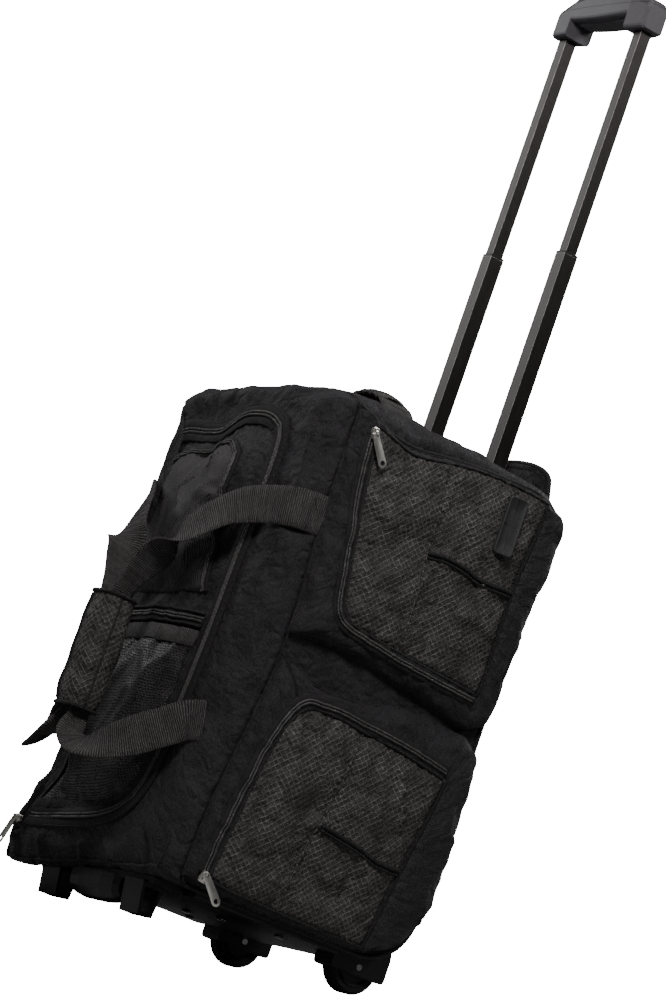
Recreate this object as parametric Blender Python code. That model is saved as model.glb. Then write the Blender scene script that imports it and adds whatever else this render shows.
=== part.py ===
"""Rolling duffel bag with side pockets and a two-stage pull handle. Metres, +Z up.

The bag stands on its front feet and back wheels at Z = 0. +X is its right side, +Y its back,
where the pull handle runs, and -Y its front, where the lid opens.
"""

import math

import bmesh
import bpy
from mathutils import Matrix, Vector

# ---- driving dimensions ----
GAP = 0.0003  # air between pieces that touch

BODY_HALF_X = 0.141
FRONT_Y = -0.088
DIVIDER_Y = 0.112  # between the packing space and the handle's channel
BACK_Y = 0.185
BOTTOM_Z = 0.036
TOP_Z = 0.512
WALL = 0.003
FRONT_BOTTOM_R = 0.018
FRONT_TOP_R = 0.014
BACK_TOP_R = 0.028
BACK_BOTTOM_R = 0.050

MOUTH_LEFT_X, MOUTH_RIGHT_X = -0.116, 0.086  # main opening in the front panel
MOUTH_BOTTOM_Z, MOUTH_TOP_Z = 0.068, 0.462
MOUTH_CORNER_R = 0.050
LID_OVERLAP = 0.005
LID_DEPTH = 0.016
LID_INSET = 0.008
MESH_POCKET_DEPTH = 0.0085

POCKET_DEPTH = 0.0150

POLE_X, POLE_Y = 0.0636, 0.142
FIXED_TUBE, MIDDLE_TUBE, INNER_TUBE = 0.0188, 0.0158, 0.0127  # outer widths
FIXED_WALL, MIDDLE_WALL, INNER_WALL = 0.0012, 0.0010, 0.0009
FIXED_Z = (0.0600, TOP_Z - GAP)
MIDDLE_Z = (0.4550, 0.7490)
INNER_Z = (0.7040, 1.0080)
GLIDE_HEIGHT = 0.0022

GRIP_HALF_X = 0.0785
SLEEVE_BOTTOM_Z = 0.9870
SLEEVE_INNER_X = 0.0490
GRIP_SPLIT_Z = 1.0150
GRIP_TOP_Z = 1.0350
TRIGGER_HALF_X = 0.0400
BEAM_HALF_X = 0.0675
TRIGGER_TRAVEL = 0.0030

WHEEL_X, WHEEL_Y = 0.104, 0.1446
WHEEL_R, WHEEL_WIDTH = 0.027, 0.022
HUB_R = 0.0185
AXLE_R = 0.0030
HOUSING_HALF_X = 0.0160
HOUSING_WALL = 0.0025
HOUSING_Y = (0.1136, 0.1756)
HOUSING_Z = (0.0190, 0.0620)

FOOT_X, FOOT_WIDTH = 0.079, 0.034
FOOT_Y = (-0.0895, -0.0695)

SLIDER_LENGTH, SLIDER_WIDTH, SLIDER_DEPTH = 0.0115, 0.0080, 0.0040
TAB_LENGTH, TAB_WIDTH, TAB_DEPTH = 0.0320, 0.0090, 0.0018
PIVOT_R = 0.0011

WEBBING = 0.0380
WEBBING_DEPTH = 0.0024

MATERIALS = {  # colour, roughness, metallic
    "polyester": ((0.012, 0.011, 0.012), 0.80, 0.0),
    "ripstop": ((0.020, 0.018, 0.018), 0.75, 0.0),
    "knit_mesh": ((0.022, 0.020, 0.022), 0.85, 0.0),
    "webbing": ((0.014, 0.013, 0.013), 0.80, 0.0),
    "black_plastic": ((0.015, 0.015, 0.016), 0.45, 0.0),
    "grip_plastic": ((0.060, 0.056, 0.062), 0.45, 0.0),
    "tyre_rubber": ((0.010, 0.010, 0.010), 0.75, 0.0),
    "anodised_tube": ((0.030, 0.026, 0.026), 0.35, 1.0),
    "nickel": ((0.700, 0.690, 0.660), 0.28, 1.0),
    "steel": ((0.450, 0.450, 0.460), 0.35, 1.0),
    "label_rubber": ((0.010, 0.010, 0.011), 0.55, 0.0),
}

materials = {}


def clear_scene():
    for thing in list(bpy.data.objects):
        bpy.data.objects.remove(thing, do_unlink=True)


def make_materials():
    for name, (colour, roughness, metallic) in MATERIALS.items():
        material = bpy.data.materials.new(name)
        material.use_nodes = True
        shader = material.node_tree.nodes["Principled BSDF"]
        shader.inputs["Base Color"].default_value = (*colour, 1.0)
        shader.inputs["Roughness"].default_value = roughness
        shader.inputs["Metallic"].default_value = metallic
        materials[name] = material


# ---- shape helpers ----


def add_object(name, mesh, material):
    piece = bpy.data.objects.new(name, mesh)
    bpy.context.scene.collection.objects.link(piece)
    if not mesh.materials:
        mesh.materials.append(materials[material])
    return piece


def mesh_from(name, verts, faces):
    bm = bmesh.new()
    points = [bm.verts.new(v) for v in verts]
    for face in faces:
        bm.faces.new([points[i] for i in face])
    bmesh.ops.recalc_face_normals(bm, faces=bm.faces)
    mesh = bpy.data.meshes.new(name)
    bm.to_mesh(mesh)
    bm.free()
    return mesh


def loft(name, loops, material, ring=False):
    """A closed body through equal loops of points; ring joins the last loop to the first."""
    count = len(loops[0])
    verts = [point for loop in loops for point in loop]
    faces = []
    spans = len(loops) if ring else len(loops) - 1
    for span in range(spans):
        low, high = span * count, (span + 1) % len(loops) * count
        for i in range(count):
            j = (i + 1) % count
            faces.append((low + i, low + j, high + j, high + i))
    if not ring:
        faces.append(tuple(range(count)))
        faces.append(tuple(range(len(verts) - count, len(verts))))
    return add_object(name, mesh_from(name, verts, faces), material)


def arc(centre, radius, start, end, steps):
    """Points on an arc, angles in degrees."""
    points = []
    for i in range(steps + 1):
        angle = math.radians(start + (end - start) * i / steps)
        points.append((centre[0] + radius * math.cos(angle), centre[1] + radius * math.sin(angle)))
    return points


def rounded(corners, steps=4):
    """An outline whose corners, given as (u, v, radius), are rounded with arcs."""
    outline = []
    for i, (u, v, radius) in enumerate(corners):
        here = Vector((u, v))
        if radius == 0:
            outline.append((u, v))
            continue
        before = (Vector(corners[i - 1][:2]) - here).normalized()
        after = (Vector(corners[(i + 1) % len(corners)][:2]) - here).normalized()
        half = before.angle(after) / 2
        centre = here + (before + after).normalized() * radius / math.sin(half)
        start = here + before * radius / math.tan(half) - centre
        end = here + after * radius / math.tan(half) - centre
        turn = start.angle_signed(end)
        for k in range(steps + 1):
            angle = -turn * k / steps
            spoke = Matrix.Rotation(angle, 2) @ start
            outline.append(tuple(centre + spoke))
    return outline


def place(axis, u, v, w):
    """A point with w along the axis: (y, z) lie across X, (x, z) across Y and (x, y) across Z."""
    return {"X": (w, u, v), "Y": (u, w, v), "Z": (u, v, w)}[axis]


def prism(name, outline, axis, low, high, material, top_outline=None):
    loops = [
        [place(axis, u, v, low) for u, v in outline],
        [place(axis, u, v, high) for u, v in (top_outline or outline)],
    ]
    return loft(name, loops, material)


def block(name, x, y, z, material):
    outline = [(x[0], y[0]), (x[1], y[0]), (x[1], y[1]), (x[0], y[1])]
    return prism(name, outline, "Z", z[0], z[1], material)


def turned(name, profile, axis, centre, material, steps=24):
    """A ring of revolution: the closed profile of (radius, height) never touches the axis."""
    loops = []
    for i in range(steps):
        angle = 2 * math.pi * i / steps
        c, s = math.cos(angle), math.sin(angle)
        loop = [Vector(place(axis, r * c, r * s, h)) + Vector(centre) for r, h in profile]
        loops.append(loop)
    return loft(name, loops, material, ring=True)


def rod(name, axis, centre, radius, low, high, material, steps=12):
    outline = arc((0, 0), radius, 0, 360 * (steps - 1) / steps, steps - 1)
    piece = prism(name, outline, axis, low, high, material)
    piece.data.transform(Matrix.Translation(centre))
    return piece


def square_tube(name, x, y, width, wall, z, material):
    def ring_loop(half, height):
        return [(x - half, y - half, height), (x + half, y - half, height),
                (x + half, y + half, height), (x - half, y + half, height)]

    outer, inner = width / 2, width / 2 - wall
    loops = [ring_loop(outer, z[0]), ring_loop(outer, z[1]),
             ring_loop(inner, z[1]), ring_loop(inner, z[0])]
    return loft(name, loops, material, ring=True)


def settle(piece):
    """Keeps a piece's evaluated shape as its mesh and drops its modifiers."""
    graph = bpy.context.evaluated_depsgraph_get()
    mesh = bpy.data.meshes.new_from_object(piece.evaluated_get(graph))
    piece.modifiers.clear()
    piece.data = mesh
    return piece


def combine(piece, others, operation):
    """Cuts the others from the piece, or joins them to it, then removes them."""
    for other in others:
        boolean = piece.modifiers.new(operation.lower(), "BOOLEAN")
        boolean.operation = operation
        boolean.solver = "EXACT"
        boolean.object = other
    settle(piece)
    for other in others:
        bpy.data.objects.remove(other, do_unlink=True)
    return piece


def soften(piece, width, segments=2, angle=30):
    bevel = piece.modifiers.new("bevel", "BEVEL")
    bevel.width = width
    bevel.segments = segments
    bevel.limit_method = "ANGLE"
    bevel.angle_limit = math.radians(angle)
    return settle(piece)


def smooth(piece, angle=35):
    piece.data.shade_smooth()
    piece.data.set_sharp_from_angle(angle=math.radians(angle))
    return piece


def curve_point(points, t):
    """A point at t from 0 to 1 on the smooth curve through the given points."""
    spans = len(points) - 1
    i = min(int(t * spans), spans - 1)
    f = t * spans - i
    p0, p1, p2, p3 = (Vector(points[min(max(i + k, 0), spans)]) for k in (-1, 0, 1, 2))
    return 0.5 * (2 * p1 + (p2 - p0) * f + (2 * p0 - 5 * p1 + 4 * p2 - p3) * f * f
                  + (3 * p1 - p0 - 3 * p2 + p3) * f ** 3)


def strap(name, route, material, depth=WEBBING_DEPTH, steps=32):
    """A flat strap. The route lists (point, width direction, half width)."""
    centres = [entry[0] for entry in route]
    sides = [Vector(entry[1]).normalized() * entry[2] for entry in route]
    loops = []
    for k in range(steps + 1):
        t = k / steps
        here = curve_point(centres, t)
        ahead = curve_point(centres, min(t + 0.01, 1)) - curve_point(centres, max(t - 0.01, 0))
        ahead.normalize()
        across = curve_point(sides, t)
        half = across.length
        across = (across - ahead * across.dot(ahead)).normalized() * half
        lift = ahead.cross(across).normalized() * depth / 2
        loops.append([here - across - lift, here + across - lift,
                      here + across + lift, here - across + lift])
    return smooth(loft(name, loops, material), 50)


# ---- body ----


def mouth_outline(grow):
    """The main opening in X and Z, widened by grow. Its left side is the lid's fold line."""
    left, right = MOUTH_LEFT_X - grow, MOUTH_RIGHT_X + grow
    low, high = MOUTH_BOTTOM_Z - grow, MOUTH_TOP_Z + grow
    corner = MOUTH_CORNER_R + grow
    return rounded([(left, low, 0.010), (right, low, corner), (right, high, corner),
                    (left, high, 0.010)])


def main_shell():
    def profile(inset, back):
        return rounded([(back, BOTTOM_Z + inset, 0),
                        (FRONT_Y + inset, BOTTOM_Z + inset, FRONT_BOTTOM_R - inset),
                        (FRONT_Y + inset, TOP_Z - inset, FRONT_TOP_R - inset),
                        (back, TOP_Z - inset, 0)])

    half = BODY_HALF_X
    shell = prism("main_shell", profile(0, DIVIDER_Y), "X", -half, half, "polyester")
    room = prism("room", profile(WALL, DIVIDER_Y - WALL), "X", WALL - half, half - WALL, "polyester")
    mouth = prism("mouth", mouth_outline(0), "Y", FRONT_Y - 0.01, FRONT_Y + 0.01, "polyester")
    return combine(shell, [room, mouth], "DIFFERENCE")


def back_cover():
    start = DIVIDER_Y + GAP

    def profile(inset, front):
        return rounded([(front, BOTTOM_Z + inset, 0),
                        (front, TOP_Z - inset, 0),
                        (BACK_Y - inset, TOP_Z - inset, BACK_TOP_R - inset),
                        (BACK_Y - inset, BOTTOM_Z + inset, BACK_BOTTOM_R - inset)], 5)

    half = BODY_HALF_X
    cover = prism("back_cover", profile(0, start), "X", -half, half, "polyester")
    room = prism("room", profile(WALL, start - 0.01), "X", WALL - half, half - WALL, "polyester")
    slot_half_x = POLE_X + FIXED_TUBE / 2 + 0.004
    slot_half_y = FIXED_TUBE / 2 + 0.003
    slot = block("slot", (-slot_half_x, slot_half_x), (POLE_Y - slot_half_y, POLE_Y + slot_half_y),
                 (TOP_Z - 0.02, TOP_Z + 0.01), "polyester")
    cutters = [room, slot]
    for side in (-1, 1):
        near, far = WHEEL_X - HOUSING_HALF_X - 0.0006, WHEEL_X + HOUSING_HALF_X + 0.0006
        cutters.append(block("arch", sorted((side * near, side * far)),
                             (DIVIDER_Y - 0.01, HOUSING_Y[1] + 0.0006),
                             (0.01, HOUSING_Z[1] + 0.0006), "polyester"))
    return combine(cover, cutters, "DIFFERENCE")


def main_lid():
    lid = prism("main_lid", mouth_outline(LID_OVERLAP), "Y", FRONT_Y - GAP,
                FRONT_Y - GAP - LID_DEPTH, "polyester",
                mouth_outline(LID_OVERLAP - LID_INSET))
    return smooth(soften(lid, 0.003))


def mesh_pockets():
    """Two flat zipped pockets of open knit on the lid, upper and lower."""
    back = FRONT_Y - 2 * GAP - LID_DEPTH
    front = back - MESH_POCKET_DEPTH
    left, right = MOUTH_LEFT_X + 0.006, MOUTH_RIGHT_X - 0.008
    upper = [(left, 0.300, 0.004), (right, 0.300, 0.004), (right - 0.030, 0.435, 0.030),
             (left, 0.435, 0.006)]
    lower = [(left, MOUTH_BOTTOM_Z + 0.008, 0.006), (right, MOUTH_BOTTOM_Z + 0.008, 0.050),
             (right, 0.290, 0.004), (left, 0.290, 0.004)]
    for name, corners in (("upper_mesh_pocket", upper), ("lower_mesh_pocket", lower)):
        pocket = prism(name, rounded(corners), "Y", back, front, "knit_mesh")
        smooth(soften(pocket, 0.003))


def side_pockets():
    """Two box pockets on each side; the front wall slants out to the zip."""
    base_x = BODY_HALF_X + GAP
    face_x = base_x + POCKET_DEPTH
    upper_base = [(-0.086, 0.503), (-0.066, 0.279), (0.154, 0.281), (0.157, 0.500)]
    upper_face = [(-0.059, 0.497), (-0.045, 0.300), (0.147, 0.293), (0.151, 0.494)]
    lower_base = [(-0.066, 0.263), (-0.086, 0.042), (0.116, 0.040), (0.147, 0.072), (0.151, 0.245)]
    lower_face = [(-0.043, 0.242), (-0.073, 0.046), (0.110, 0.048), (0.139, 0.078), (0.145, 0.233)]
    for label, base, face in (("upper", upper_base, upper_face), ("lower", lower_base, lower_face)):
        for side_name, side in (("right", 1), ("left", -1)):
            pocket = prism(f"{label}_{side_name}_pocket", base, "X", side * base_x, side * face_x,
                           "ripstop", face)
            smooth(soften(pocket, 0.006))


def label_patch():
    low_x = BODY_HALF_X + 2 * GAP + POCKET_DEPTH
    outline = rounded([(0.107, 0.431, 0.002), (0.127, 0.431, 0.002), (0.127, 0.487, 0.002),
                       (0.107, 0.487, 0.002)], 2)
    return prism("label_patch", outline, "X", low_x, low_x + 0.0012, "label_rubber")


def handle_hood():
    """Soft flap that folds over the stowed pull handle."""
    half, high = 0.124, TOP_Z + 0.036
    outline = rounded([(-half, TOP_Z + GAP, 0), (half, TOP_Z + GAP, 0), (half, high, 0.030),
                       (-half, high, 0.030)], 5)
    hood = prism("handle_hood", outline, "Y", 0.1620, 0.1760, "polyester")
    return smooth(soften(hood, 0.003))


# ---- handles ----


def carry_handles():
    """Each handle leaves its side seam, runs down through the wrap and goes back to the seam."""
    up, back = (0, 0, 1), (0, 1, 0)
    wide, folded = WEBBING / 2, 0.0085
    route = [
        ((0.1385, -0.0898, 0.375), up, wide),
        ((0.1385, -0.1080, 0.374), up, wide),
        ((0.1230, -0.1300, 0.366), up, wide),
        ((0.0850, -0.1500, 0.342), (0, 0.3, 1), wide),
        ((0.0420, -0.1620, 0.310), (0, 0.8, 1), 0.015),
        ((0.0130, -0.1665, 0.279), back, folded),
        ((0.0075, -0.1665, 0.250), back, folded),
        ((0.0075, -0.1665, 0.190), back, folded),
        ((0.0100, -0.1665, 0.158), back, folded),
        ((0.0330, -0.1690, 0.144), (0, 0.7, 1), 0.014),
        ((0.0700, -0.1600, 0.154), (0, 0.2, 1), 0.018),
        ((0.1080, -0.1420, 0.170), up, wide),
        ((0.1360, -0.1160, 0.179), up, wide),
        ((0.1385, -0.0898, 0.180), up, wide),
    ]
    for side_name, side in (("right", 1), ("left", -1)):
        own = [((side * p[0], p[1], p[2]), (side * d[0], d[1], d[2]), half)
               for p, d, half in route]
        strap(f"carry_handle_{side_name}", own, "webbing", steps=40)


def wrap_grip():
    """A padded sleeve that holds both carry handles together."""
    def loop(half_x, half_y, z):
        return [(x, y - 0.1665, z) for x, y in
                rounded([(-half_x, -half_y, 0.004), (half_x, -half_y, 0.004),
                         (half_x, half_y, 0.004), (-half_x, half_y, 0.004)], 2)]

    outer, inner = (0.0190, 0.0185), (0.0135, 0.0100)
    low, high = 0.164, 0.272
    loops = [loop(*outer, low), loop(*outer, high), loop(*inner, high), loop(*inner, low)]
    return smooth(loft("wrap_grip", loops, "ripstop", ring=True))


def top_grab_handle():
    side = (0, 1, 0)
    half = WEBBING / 2
    z = TOP_Z + GAP + 0.0034
    points = [(-0.074, z), (-0.062, z), (-0.053, z + 0.005), (-0.034, z + 0.027), (0, z + 0.036),
              (0.034, z + 0.027), (0.053, z + 0.005), (0.062, z), (0.074, z)]
    route = [((x, 0.031, height), side, half) for x, height in points]
    return strap("top_grab_handle", route, "webbing", depth=0.0036)


# ---- base and wheels ----


def base_tray():
    z = (0.0300, BOTTOM_Z - GAP)
    tongue = WHEEL_X - HOUSING_HALF_X - 0.0012
    front, step, back = FRONT_Y + 0.034, DIVIDER_Y, 0.150
    outline = [(-0.130, front), (0.130, front), (0.130, step), (tongue, step), (tongue, back),
               (-tongue, back), (-tongue, step), (-0.130, step)]
    return soften(prism("base_tray", outline, "Z", *z, "black_plastic"), 0.0015, 1)


def base_rivets():
    places = [(0.083, 0.073), (-0.083, 0.073), (0.032, 0.038), (-0.032, 0.038)]
    for i, (x, y) in enumerate(places, 1):
        head = rod(f"base_rivet_{i}", "Z", (x, y, 0), 0.0052, 0.0274, 0.0300 - GAP, "steel", 12)
        soften(head, 0.0009, 1)


def front_stand():
    """Two hollow feet and a lifting bar under one plate."""
    z_top = BOTTOM_Z - GAP
    stand = block("front_stand", (-0.108, 0.108), (FRONT_Y, FRONT_Y + 0.033),
                  (0.0290, z_top), "black_plastic")
    joined = []
    for side in (-1, 1):
        low, high = side * FOOT_X - FOOT_WIDTH / 2, side * FOOT_X + FOOT_WIDTH / 2
        front, back = FOOT_Y
        outer = [(front + 0.003, 0), (back - 0.001, 0), (back + 0.002, 0.031), (front - 0.002, 0.031)]
        inner = [(front + 0.006, 0.0035), (back - 0.004, 0.0035), (back - 0.002, 0.0255),
                 (front + 0.002, 0.0255)]
        foot = prism("foot", outer, "X", low, high, "black_plastic")
        tunnel = prism("tunnel", inner, "X", low - 0.01, high + 0.01, "black_plastic")
        joined.append(combine(foot, [tunnel], "DIFFERENCE"))
    stations = [(-0.047, 0.010), (-0.040, 0.014), (-0.020, 0.0165), (0.020, 0.0165),
                (0.040, 0.014), (0.047, 0.010)]
    loops = []
    for x, radius in stations:
        section = arc((0, 0.0215), radius, 180, 360, 6) + [(radius, 0.031), (-radius, 0.031)]
        loops.append([(x, FRONT_Y + 0.012 + y, z) for y, z in section])
    joined.append(loft("bar", loops, "black_plastic"))
    return smooth(combine(stand, joined, "UNION"), 40)


def wheels():
    hole_r = AXLE_R + 0.0004
    half = WHEEL_WIDTH / 2
    for side_name, side in (("right", 1), ("left", -1)):
        x = side * WHEEL_X
        low, high = HOUSING_Y
        arch = rounded([(low, HOUSING_Z[0], 0.004), (high, HOUSING_Z[0], 0.004),
                        (high, HOUSING_Z[1], 0.020), (low, HOUSING_Z[1], 0.020)], 5)
        inside = rounded([(low + HOUSING_WALL, -0.01, 0), (high - HOUSING_WALL, -0.01, 0),
                          (high - HOUSING_WALL, HOUSING_Z[1] - HOUSING_WALL, 0.018),
                          (low + HOUSING_WALL, HOUSING_Z[1] - HOUSING_WALL, 0.018)], 5)
        housing = prism(f"wheel_housing_{side_name}", arch, "X", x - HOUSING_HALF_X,
                        x + HOUSING_HALF_X, "black_plastic")
        well = prism("well", inside, "X", x - HOUSING_HALF_X + HOUSING_WALL,
                     x + HOUSING_HALF_X - HOUSING_WALL, "black_plastic")
        hole = rod("hole", "X", (x, WHEEL_Y, WHEEL_R), hole_r, -0.03, 0.03, "black_plastic", 12)
        combine(housing, [well, hole], "DIFFERENCE")

        centre = (x, WHEEL_Y, WHEEL_R)
        tyre = [(HUB_R + GAP, -half + 0.002), (WHEEL_R - 0.003, -half), (WHEEL_R, -half + 0.005),
                (WHEEL_R, half - 0.005), (WHEEL_R - 0.003, half), (HUB_R + GAP, half - 0.002)]
        smooth(turned(f"tyre_{side_name}", tyre, "X", centre, "tyre_rubber", 32))
        bore = AXLE_R + 0.00006
        hub = [(bore, -half), (bore + 0.003, -half), (bore + 0.004, -half + 0.003),
               (HUB_R - 0.003, -half + 0.003), (HUB_R, -half + 0.001), (HUB_R, half - 0.001),
               (HUB_R - 0.003, half - 0.003), (bore + 0.004, half - 0.003), (bore + 0.003, half),
               (bore, half)]
        smooth(turned(f"wheel_hub_{side_name}", hub, "X", centre, "black_plastic", 32))
        reach = HOUSING_HALF_X - 0.0002
        axle = rod(f"axle_{side_name}", "X", centre, AXLE_R, -reach, reach, "steel", 24)
        smooth(axle)


# ---- pull handle ----


def pull_handle():
    base_half_x = POLE_X + FIXED_TUBE / 2 + 0.006
    foot = block("tube_base_bracket", (-base_half_x, base_half_x), (POLE_Y - 0.014, POLE_Y + 0.014),
                 (BOTTOM_Z + WALL + 0.0120, FIXED_Z[0] - GAP), "black_plastic")
    soften(foot, 0.0015, 1)
    bezel_half_x = POLE_X + FIXED_TUBE / 2 + 0.010
    bezel = block("tube_bezel", (-bezel_half_x, bezel_half_x), (POLE_Y - 0.0165, POLE_Y + 0.0165),
                  (TOP_Z + GAP, TOP_Z + 0.0045), "black_plastic")
    soften(bezel, 0.0012, 1)
    holes = []
    for side in (-1, 1):
        x, half = side * POLE_X, MIDDLE_TUBE / 2 + 0.0004
        holes.append(block("hole", (x - half, x + half), (POLE_Y - half, POLE_Y + half),
                           (TOP_Z - 0.01, TOP_Z + 0.02), "black_plastic"))
    combine(bezel, holes, "DIFFERENCE")

    for side_name, side in (("right", 1), ("left", -1)):
        x = side * POLE_X
        square_tube(f"fixed_tube_{side_name}", x, POLE_Y, FIXED_TUBE, FIXED_WALL, FIXED_Z,
                    "anodised_tube")
        square_tube(f"middle_tube_{side_name}", x, POLE_Y, MIDDLE_TUBE, MIDDLE_WALL, MIDDLE_Z,
                    "anodised_tube")
        square_tube(f"inner_tube_{side_name}", x, POLE_Y, INNER_TUBE, INNER_WALL, INNER_Z,
                    "anodised_tube")
        glide_z = (MIDDLE_Z[1] + GAP, MIDDLE_Z[1] + GAP + GLIDE_HEIGHT)
        glide_wall = (MIDDLE_TUBE - INNER_TUBE) / 2 - 0.0003
        square_tube(f"stage_glide_{side_name}", x, POLE_Y, MIDDLE_TUBE, glide_wall, glide_z,
                    "black_plastic")
        rod(f"release_rod_{side_name}", "Z", (x, POLE_Y, 0), 0.0020, INNER_Z[0] + 0.010, 1.0085,
            "steel", 10)


def grip_body(name, material):
    """The whole grip: a barrel-shaped bar with a squared sleeve at each end."""
    stations = []
    for side in (-1, 1):
        ends = [(GRIP_HALF_X, 0.006), (GRIP_HALF_X - 0.003, 0.002), (SLEEVE_INNER_X + 0.0002, 0.0)]
        for x, shrink in ends:
            stations.append((side * x, SLEEVE_BOTTOM_Z + shrink * 0.3, shrink))
    for x in (0.0485, 0.036, 0.018):
        for side in (-1, 1):
            stations.append((side * x, 1.0030 - 0.0020 * (1 - (x / 0.049) ** 2), 0.0))
    stations.append((0.0, 1.0010, 0.0))
    loops = []
    for x, low, shrink in sorted(stations):
        rise = 1 - (x / GRIP_HALF_X) ** 2
        top = GRIP_TOP_Z - 0.014 + 0.014 * rise - shrink
        half = 0.0140 + 0.0030 * rise - shrink * 0.5
        corner = min(0.009, (top - low) * 0.3)
        section = rounded([(-half, low, 0.004), (half, low, 0.004), (half, top, corner),
                           (-half, top, corner)], 3)
        loops.append([(x, POLE_Y + y, z) for y, z in section])
    return loft(name, loops, material)


def grip():
    far = 0.2
    upper = grip_body("grip_upper", "grip_plastic")
    below = block("below", (-far, far), (-far, 2 * far), (0.9, GRIP_SPLIT_Z + GAP / 2),
                  "grip_plastic")
    smooth(combine(upper, [below], "DIFFERENCE"), 40)

    lower = grip_body("grip_lower", "grip_plastic")
    cutters = [block("above", (-far, far), (-far, 2 * far), (GRIP_SPLIT_Z - GAP / 2, 1.2),
                     "grip_plastic")]
    socket = INNER_TUBE / 2 + 0.0003
    for side in (-1, 1):
        x = side * POLE_X
        cutters.append(block("socket", (x - socket, x + socket), (POLE_Y - socket, POLE_Y + socket),
                             (0.98, INNER_Z[1] + GAP), "grip_plastic"))
    pad_x = TRIGGER_HALF_X + 0.0005
    cutters.append(block("pad_slot", (-pad_x, pad_x), (POLE_Y - 0.0095, POLE_Y + 0.0095),
                         (0.98, 1.0122), "grip_plastic"))
    beam_x = BEAM_HALF_X + 0.0010
    cutters.append(block("beam_slot", (-beam_x, beam_x), (POLE_Y - 0.0045, POLE_Y + 0.0045),
                         (1.0080, 1.02), "grip_plastic"))
    smooth(combine(lower, cutters, "DIFFERENCE"), 40)

    pad = block("release_trigger", (-TRIGGER_HALF_X, TRIGGER_HALF_X),
                (POLE_Y - 0.0090, POLE_Y + 0.0090), (0.9995, 1.0089), "black_plastic")
    soften(pad, 0.0020, 1)
    beam = block("beam", (-BEAM_HALF_X, BEAM_HALF_X), (POLE_Y - 0.0038, POLE_Y + 0.0038),
                 (1.00881, 1.0110), "black_plastic")
    beam_root = block("root", (-0.030, 0.030), (POLE_Y - 0.0030, POLE_Y + 0.0030),
                      (1.0070, 1.0100), "black_plastic")
    combine(pad, [beam_root, beam], "UNION")


# ---- zip sliders and pull tabs ----


def slider_mesh():
    """Slider along +Z with its pivot post pointing to +X, its back on the plane X = 0."""
    half_w, half_l = SLIDER_WIDTH / 2, SLIDER_LENGTH / 2
    body = block("slider", (0, SLIDER_DEPTH), (-half_w, half_w), (-half_l, half_l), "nickel")
    soften(body, 0.0010, 1)
    post = rod("post", "X", (0, 0, -0.002), PIVOT_R, 0.001, SLIDER_DEPTH + 0.0036, "nickel", 10)
    head = rod("head", "X", (0, 0, -0.002), 0.0021, SLIDER_DEPTH + 0.0026, SLIDER_DEPTH + 0.0036,
               "nickel", 10)
    combine(body, [post, head], "UNION")
    mesh = body.data
    bpy.data.objects.remove(body, do_unlink=True)
    return mesh


def tab_mesh():
    """Pull tab hanging to -Z from its pivot at the origin, in a plane across X."""
    half = TAB_WIDTH / 2
    outline = rounded([(-half * 0.7, 0.0030, 0.0015), (half * 0.7, 0.0030, 0.0015),
                       (half, -TAB_LENGTH + 0.003, 0.0043), (-half, -TAB_LENGTH + 0.003, 0.0043)], 3)
    low = SLIDER_DEPTH + 0.0004
    tab = prism("tab", outline, "X", low, low + TAB_DEPTH, "nickel")
    pivot = rod("pivot", "X", (0, 0, 0), PIVOT_R + 0.0003, -0.01, 0.02, "nickel", 10)
    eye = rod("eye", "X", (0, 0, -TAB_LENGTH + 0.0082), 0.0023, -0.01, 0.02, "nickel", 10)
    combine(tab, [pivot, eye], "DIFFERENCE")
    mesh = tab.data
    bpy.data.objects.remove(tab, do_unlink=True)
    return mesh


def zip_pulls():
    """Each pull is named for its zip. Its pose turns +X to the outward normal."""
    side_x = BODY_HALF_X + 2 * GAP + POCKET_DEPTH
    sag_y = FRONT_Y - 0.028  # the cloth hangs out over the base at the closed end of the main zip
    mesh_y = FRONT_Y - 3 * GAP - LID_DEPTH - MESH_POCKET_DEPTH
    right, left, front = 0.0, 180.0, -90.0  # turn about +Z of the outward normal, in degrees
    pulls = [  # name, position, turn, slider lean and tab swing in degrees
        ("upper_right_zip", (side_x, -0.0535, 0.4840), right, -6.0, 36.9),
        ("lower_right_zip", (side_x, -0.0700, 0.0475), right, 189.3, 44.0),
        ("upper_left_zip", (-side_x, -0.0535, 0.4840), left, -6.0, 36.9),
        ("lower_left_zip", (-side_x, -0.0700, 0.0475), left, 189.3, 44.0),
        ("main_zip", (-0.1220, sag_y, 0.0600), front, 90.0, -30.0),
        ("upper_mesh_zip", (-0.0920, mesh_y, 0.3380), front, 0.0, 0.0),
        ("lower_mesh_zip", (-0.0850, mesh_y, 0.2780), front, 90.0, 0.0),
    ]
    slider, tab = slider_mesh(), tab_mesh()
    for name, position, turn, lean, swing in pulls:
        mirror = -1.0 if turn == left else 1.0
        facing = Matrix.Translation(position) @ Matrix.Rotation(math.radians(turn), 4, "Z")
        body = add_object(f"{name}_slider", slider, "nickel")
        body.matrix_world = facing @ Matrix.Rotation(math.radians(-mirror * lean), 4, "X")
        pivot = body.matrix_world @ Vector((0, 0, -0.002))
        pull = add_object(f"{name}_tab", tab, "nickel")
        pull.matrix_world = (Matrix.Translation(pivot) @ Matrix.Rotation(math.radians(turn), 4, "Z")
                             @ Matrix.Rotation(math.radians(mirror * swing), 4, "X"))


def main():
    clear_scene()
    make_materials()
    main_shell()
    back_cover()
    main_lid()
    mesh_pockets()
    side_pockets()
    label_patch()
    handle_hood()
    carry_handles()
    wrap_grip()
    top_grab_handle()
    base_tray()
    base_rivets()
    front_stand()
    wheels()
    pull_handle()
    grip()
    zip_pulls()


main()
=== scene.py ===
import math

import bmesh
import bpy
import numpy as np
from mathutils import Matrix, Vector


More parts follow.
